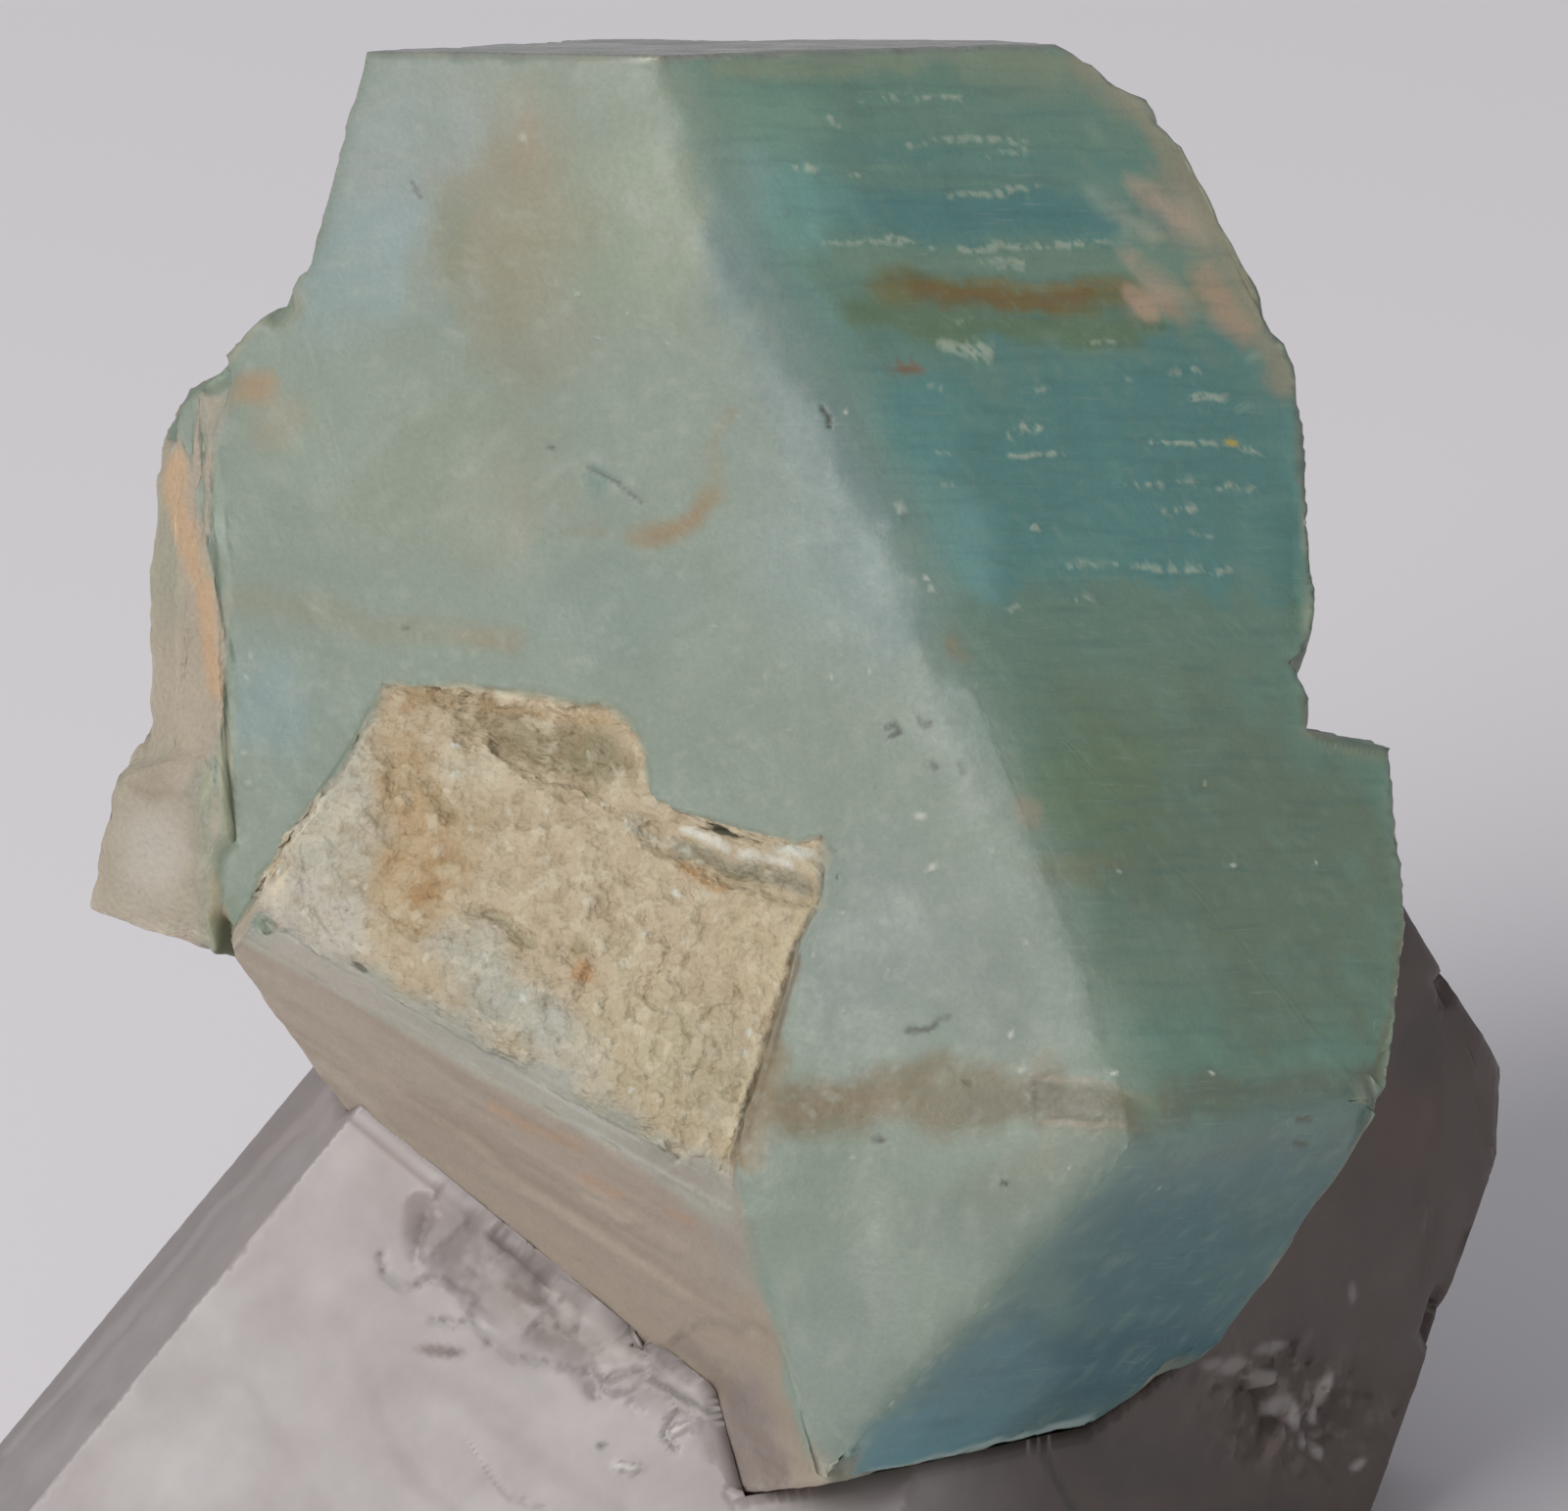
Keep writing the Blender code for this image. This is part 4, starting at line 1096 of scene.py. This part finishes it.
# Pale chip facets: (u, v, ru, rv, turn, strength)
CHIP_FACETS = (
    (560, 1322, 14, 8, -25, 0.6), (590, 1345, 22, 9, -25, 0.6), (640, 1385, 22, 8, -22, 0.5),
    (615, 1400, 16, 6, 15, 0.7), (640, 1395, 8, 4, 20, 0.8), (700, 1412, 20, 7, -25, 0.7),
    (720, 1440, 14, 5, -30, 0.8), (742, 1432, 10, 4, -40, 0.8), (505, 1300, 14, 8, -40, 0.5),
    (480, 1290, 12, 6, -30, 0.4), (640, 1498, 14, 4, -10, 0.7), (690, 1460, 10, 5, 30, 0.5),
    (1262, 1400, 16, 10, 10, 0.45), (1290, 1412, 14, 8, 0, 0.5), (1312, 1442, 14, 9, 20, 0.6),
    (1328, 1452, 6, 14, 10, 0.8), (1362, 1425, 8, 18, -20, 0.9), (1352, 1452, 6, 10, 10, 0.7),
    (1350, 1490, 6, 9, 15, 0.6), (1394, 1504, 8, 5, 40, 0.8), (1338, 1478, 5, 8, -20, 0.5),
    (1388, 1325, 4, 10, 0, 0.35), (1300, 1380, 16, 6, 10, 0.4), (1240, 1395, 10, 6, 0, 0.35),
)
BEVEL_OUTLINE = (311, 1074, -40, 1460, -40, 1530, 336, 1112)


# In millimetres: how far the seat reaches for the amazonite, what it closes, and what it leaves
SEAT_REACH, SEAT_CLOSED, SEAT_GAP = 0.8, 0.45, 0.02


def close_seat(co, amazonite_tree):
    """Brings the seat's surface up to the amazonite, which has grown onto it."""
    out = co.copy()
    touching = np.zeros(len(co))
    for k, spot in enumerate(co):
        place, _, _, gap = amazonite_tree.find_nearest(Vector(spot), SEAT_REACH)
        if place is None:
            continue
        touching[k] = 1.0 - min(gap / SEAT_REACH, 1.0)
        if gap < SEAT_CLOSED:
            out[k] = spot + (np.array(place) - spot) * (1.0 - SEAT_GAP / max(gap, SEAT_GAP))
    return out, touching


def quartz():
    fine = DetailMap(0.9)
    fine.along((330, 1120, 500, 1290, 640, 1400, 760, 1470), 2.0, 0.34)
    for points, width, _ in CRACKS:
        fine.along(points, width * PIXEL + 0.1, 0.20)
    for u, v, ru, rv, _, _ in CHIP_FACETS:
        fine.dab(*at(u, v), max(ru, rv) * PIXEL + 0.1, 0.22)
    fine.along((1260, 1400, 1380, 1490), 1.6, 0.34)
    for u, v, ru, *_ in QUARTZ_PATCHES:
        if ru < 30:
            fine.dab(*at(u, v), ru * PIXEL + 0.15, 0.22)
    for points, width, _, _ in QUARTZ_LINES:
        fine.along(points, width * PIXEL + 0.1, 0.36)
    co, tri, label = stone_mesh("smoky_quartz", fine, 6.0, 1.3, 0.6)
    edges, rim = rim_of(co, tri)
    stone_co, stone_tri = node_arrays("amazonite")
    tree = BVHTree.FromPolygons(stone_co.tolist(), stone_tri.tolist())
    # The flat underside, that rests on the floor
    base = to_world(co)[:, 2] < 0.0004
    co, touching = close_seat(co, tree)
    near = spread(edges, rim, 1)
    co = np.where(base[:, None], co, soften(co, edges, 0.22 * near * (1.0 - touching), 2))
    n = vertex_normals(co, tri)
    paint = Paint(co, (172, 163, 161))
    ahead = 1.0 - smooth(3.0, 9.0, co[:, 1])
    rest = 1.0 - ahead

    broken = rest * smooth(0.0, 1.0, np.abs(n @ direction(-140.0, 26.0)) + 0.3)
    lift = 0.012 * fbm(co, 4.0, 211, 2) + broken * 0.10 * fbm(co, 1.8, 213, 4)
    seat = (460, 1262, 520, 1300, 649, 1390, 750, 1440)
    contact = paint.trace(seat, 46, 0.4, 1.3, 0.3) * ahead
    flakes = paint.oval(1325, 1440, 85, 62, ragged=0.4, soft=0.6) * ahead
    chipped = np.maximum(contact, flakes)
    chip, chip_tone = facets(co, 1.5, 441, 0.9)
    small, small_tone = facets(co, 0.7, 461, 0.8)
    lift += chipped * (0.22 * chip + 0.14 * small - 0.03)
    facet = np.zeros(len(co))
    for u, v, ru, rv, turn, strength in CHIP_FACETS:
        facet = np.maximum(facet, paint.oval(u, v, ru, rv, turn, 0.5, 0.5) * strength)
    facet = facet * ahead
    lift += 0.08 * facet
    crack = paint.marks(CRACKS, 0.3, 1.5, 0.4) * ahead
    lift -= 0.09 * crack
    still = base | (touching > 0.55)
    co = np.where(still[:, None], co, co + n * lift[:, None])

    # Milky at the left; dark at the right, partly the quartz's own smoky brown and partly painted
    # shade where it lies thick under the amazonite
    place = co[:, 0] + 0.30 * (co[:, 1] + 8.0) + 0.5 * fbm(co, 3.0, 231, 3)
    smoky = smooth(0.0, 9.5, place)
    milk = 1.0 - smoky
    paint.mottle(co, (
        (milk * 0.4, 0.0, 0.8, 3.4, 239, 3, (194, 188, 188)),
        (milk * 0.3, 0.1, 0.8, 2.0, 241, 3, (162, 151, 149)),
    ))
    # Smoky brown with painted shade, darkest at the right
    paint.lay(smoky, (94, 78, 70))
    paint.mottle(co, (
        (smoky * 0.4, 0.0, 0.8, 3.0, 237, 3, (66, 54, 51)),
        (smoky * 0.25, 0.1, 0.8, 1.1, 238, 3, (112, 96, 88)),
    ))
    paint.lay(paint.zone(BEVEL_OUTLINE, 0.5, 0.1) * ahead * 0.85, (155, 145, 143))
    for patch in QUARTZ_PATCHES:
        paint.patch(ahead, *patch)
    for line in QUARTZ_LINES:
        paint.line(ahead, *line)
    paint.lay(contact * smooth(0.3, 0.9, chip_tone) * 0.5, (196, 188, 182))
    paint.lay(contact * smooth(0.4, 0.9, small_tone) * 0.5, (200, 194, 190))
    paint.lay(contact * smooth(0.5, 1.0, -small_tone) * 0.4, (128, 118, 112))
    paint.lay(contact * smooth(0.4, 0.9, -chip_tone) * 0.3, (150, 139, 133))
    paint.lay(facet, (208, 202, 196))
    paint.mottle(co, ((flakes * 0.5, 0.1, 0.6, 0.5, 243, 3, (168, 152, 140)),))
    paint.lay(crack * 0.75, (100, 92, 88))
    finish = 0.30 + 0.25 * chipped + 0.06 * fbm(co, 2.0, 247, 3) + 0.08 * milk
    colour = boosted(paint.colour, co, 251)
    return make_piece("Smoky_quartz", "smoky_quartz", co, tri, colour, {"finish": finish})


# Materials


class Surface:
    """A new material, and short ways to add nodes to it."""

    def __init__(self, name):
        self.material = bpy.data.materials.new(name)
        self.material.use_nodes = True
        self.nodes = self.material.node_tree.nodes
        self.join = self.material.node_tree.links.new
        self.shader = self.nodes["Principled BSDF"]
        self.place = self.add("TexCoord", {}).outputs["Object"]

    def feed(self, sockets, values):
        """Gives each socket a value, or another node's output."""
        for key, value in values.items():
            if isinstance(value, bpy.types.NodeSocket):
                self.join(value, sockets[key])
            else:
                sockets[key].default_value = value

    def add(self, kind, values, **settings):
        node = self.nodes.new("ShaderNode" + kind)
        for key, value in settings.items():
            setattr(node, key, value)
        self.feed(node.inputs, values)
        return node

    def math(self, operation, *values):
        return self.add("Math", dict(enumerate(values)), operation=operation).outputs[0]

    def number(self, name):
        """A number that make_piece kept on the points."""
        return self.add("Attribute", {}, attribute_name=name).outputs["Fac"]

    def noise(self, size, detail=3.0, rough=0.55):
        """Fractal noise whose largest lumps are size millimetres across."""
        values = {"Scale": 1.0 / (size * MM), "Detail": detail, "Roughness": rough}
        return self.add("TexNoise", {**values, "Vector": self.place}).outputs["Fac"]

    def span(self, value, low, high, to_low=0.0, to_high=1.0):
        values = {"Value": value, "From Min": low, "From Max": high}
        values |= {"To Min": to_low, "To Max": to_high}
        return self.add("MapRange", values).outputs["Result"]

    def tone(self, low, high, size):
        """The painted tone, varied by fine grain."""
        grain = self.span(self.noise(size, 4.0, 0.65), 0.3, 0.7, low, high)
        tone = self.add("Attribute", {}, attribute_name="tone").outputs["Color"]
        scaled = self.add("VectorMath", {}, operation="SCALE")
        self.feed(scaled.inputs, {0: tone, "Scale": grain})
        self.feed(self.shader.inputs, {"Base Color": scaled.outputs["Vector"]})

    def bumps(self, layers):
        """Stacks bump maps: (height, strength, distance in millimetres)."""
        below = {}
        for height, strength, distance in layers:
            values = {"Strength": strength, "Distance": distance * MM, "Height": height}
            below = {"Normal": self.add("Bump", {**values, **below}).outputs["Normal"]}
        self.feed(self.shader.inputs, below)

    def lamellae(self, length, pitch, low, high):
        """Thin wisps that lie level across the right faces."""
        along = direction(-37.0, 0.7) * (-1.0, -1.0, 1.0)
        level = np.array((0.0, 0.0, 1.0))
        parts = []
        for axis, size in ((along, length), (level, pitch)):
            values = {0: self.place, 1: (axis @ LEAN_MATRIX.T) / (size * MM)}
            dot = self.add("VectorMath", values, operation="DOT_PRODUCT")
            parts.append(dot.outputs["Value"])
        bent = self.math("MULTIPLY_ADD", self.noise(1.6), 0.9, parts[1])
        joined = self.add("CombineXYZ", {0: parts[0], 1: bent}).outputs["Vector"]
        wisps = self.add("TexNoise", {"Scale": 1.0, "Detail": 3.0, "Vector": joined})
        return self.span(wisps.outputs["Fac"], low, high)

    def blend_in(self, mask, colour):
        """Mixes a colour over whatever reaches the shader's base colour."""
        mix = self.add("Mix", {}, data_type="RGBA")
        below = self.shader.inputs["Base Color"].links[0].from_socket
        self.feed(mix.inputs, {"Factor": mask, "A": below, "B": (*srgb(*colour), 1.0)})
        self.feed(self.shader.inputs, {"Base Color": mix.outputs["Result"]})


def amazonite_material():
    surface = Surface("Amazonite")
    surface.tone(0.94, 1.06, 0.16)
    banded = surface.number("lamellae")
    dark = surface.math("MULTIPLY", surface.lamellae(4.0, 0.35, 0.50, 0.68), banded)
    surface.blend_in(surface.math("MULTIPLY", dark, 0.17), (62, 106, 108))
    pale = surface.math("MULTIPLY", surface.lamellae(2.6, 0.12, 0.60, 0.74), banded)
    pale = surface.math("MULTIPLY", pale, surface.span(surface.noise(4.0), 0.45, 0.62, 0.05, 0.5))
    surface.blend_in(pale, (158, 180, 166))
    grain = surface.noise(0.25, 4.0, 0.6)
    crust = surface.number("crust")
    crusty = surface.math("MULTIPLY", surface.noise(0.5, 5.0, 0.65), crust)
    sugar = surface.add("TexVoronoi", {"Scale": 1.0 / (0.22 * MM), "Vector": surface.place})
    sugary = surface.math("MULTIPLY", sugar.outputs["Distance"], crust)
    surface.bumps((
        (grain, 0.35, 0.05), (crusty, 0.6, 0.20), (sugary, 0.5, 0.12), (pale, 0.5, 0.05),
    ))
    dull = surface.math("MULTIPLY_ADD", grain, 0.25, surface.number("finish"))
    surface.feed(surface.shader.inputs, {
        "Roughness": surface.math("SUBTRACT", dull, 0.12),
        "IOR": 1.525,
        "Subsurface Weight": 0.12,
        "Subsurface Radius": (1.0, 1.1, 1.05),
        "Subsurface Scale": 0.0006,
    })
    return surface.material


def quartz_material():
    surface = Surface("Smoky_quartz")
    surface.tone(0.93, 1.06, 1.2)
    surface.bumps(((surface.noise(0.6, 4.0, 0.6), 0.12, 0.04),))
    surface.feed(surface.shader.inputs, {
        "Roughness": surface.number("finish"), "Transmission Weight": 0.35, "IOR": 1.544,
    })
    absorb = surface.add("VolumeAbsorption", {"Color": (0.62, 0.52, 0.48, 1.0), "Density": 55.0})
    surface.feed(surface.nodes["Material Output"].inputs, {"Volume": absorb.outputs["Volume"]})
    return surface.material


def floor_material():
    surface = Surface("Floor")
    surface.feed(surface.shader.inputs, {
        "Base Color": (0.88, 0.852, 0.885, 1.0), "Roughness": 0.9, "Specular IOR Level": 0.1,
    })
    return surface.material


# Camera, floor and light

# The camera's distance in metres, then its sensor and the picture's width in millimetres
CAMERA_DISTANCE = 1.2
SENSOR = 36.0
FRAME_WIDTH = 1600 * PIXEL
# The depth at which one pixel of the photo is PIXEL wide
TRUE_SCALE_DEPTH = -12.0
# From the middle to each side, in metres
FLOOR_REACH = 3.0


def add_camera():
    data = bpy.data.cameras.new("Camera")
    data.sensor_width = SENSOR
    data.sensor_fit = "HORIZONTAL"
    data.lens = SENSOR * (CAMERA_DISTANCE + TRUE_SCALE_DEPTH * MM) / (FRAME_WIDTH * MM)
    data.clip_start = 0.05
    data.clip_end = 20.0
    camera = bpy.data.objects.new("Camera", data)
    bpy.context.scene.collection.objects.link(camera)
    target = Vector(to_world((0.0, 0.0, 0.0)))
    forward = Vector((0.0, math.cos(LEAN), -math.sin(LEAN)))
    up = Vector((0.0, math.sin(LEAN), math.cos(LEAN)))
    turn = Matrix(((1.0, 0.0, 0.0), up, -forward)).transposed()
    camera.matrix_world = Matrix.Translation(target - forward * CAMERA_DISTANCE) @ turn.to_4x4()
    bpy.context.scene.camera = camera


def add_floor():
    mesh = bpy.data.meshes.new("Floor")
    around = ((-1, -1), (1, -1), (1, 1), (-1, 1))
    corners = [(x * FLOOR_REACH, y * FLOOR_REACH, 0) for x, y in around]
    mesh.from_pydata(corners, [], [(0, 1, 2, 3)])
    floor = bpy.data.objects.new("Floor", mesh)
    bpy.context.scene.collection.objects.link(floor)
    mesh.materials.append(floor_material())


def add_key():
    data = bpy.data.lights.new("Key", "AREA")
    data.shape = "DISK"
    data.size = 0.60
    data.energy = KEY_WATTS
    data.color = (1.0, 0.98, 0.96)
    light = bpy.data.objects.new("Key", data)
    bpy.context.scene.collection.objects.link(light)
    light.location = KEY_PLACE
    aim = Vector(to_world((0.0, 0.0, 0.0))) - Vector(KEY_PLACE)
    light.rotation_euler = aim.to_track_quat("-Z", "Y").to_euler()


def add_world():
    world = bpy.data.worlds.new("World")
    world.use_nodes = True
    background = world.node_tree.nodes["Background"]
    background.inputs["Color"].default_value = (0.95, 0.96, 1.0, 1.0)
    background.inputs["Strength"].default_value = SKY
    bpy.context.scene.world = world


stone = amazonite()
stone.data.materials.append(amazonite_material())
smoky = quartz()
smoky.data.materials.append(quartz_material())
add_camera()
add_floor()
add_world()
add_key()
bpy.context.scene.view_settings.view_transform = "Standard"

bpy.context.view_layer.update()
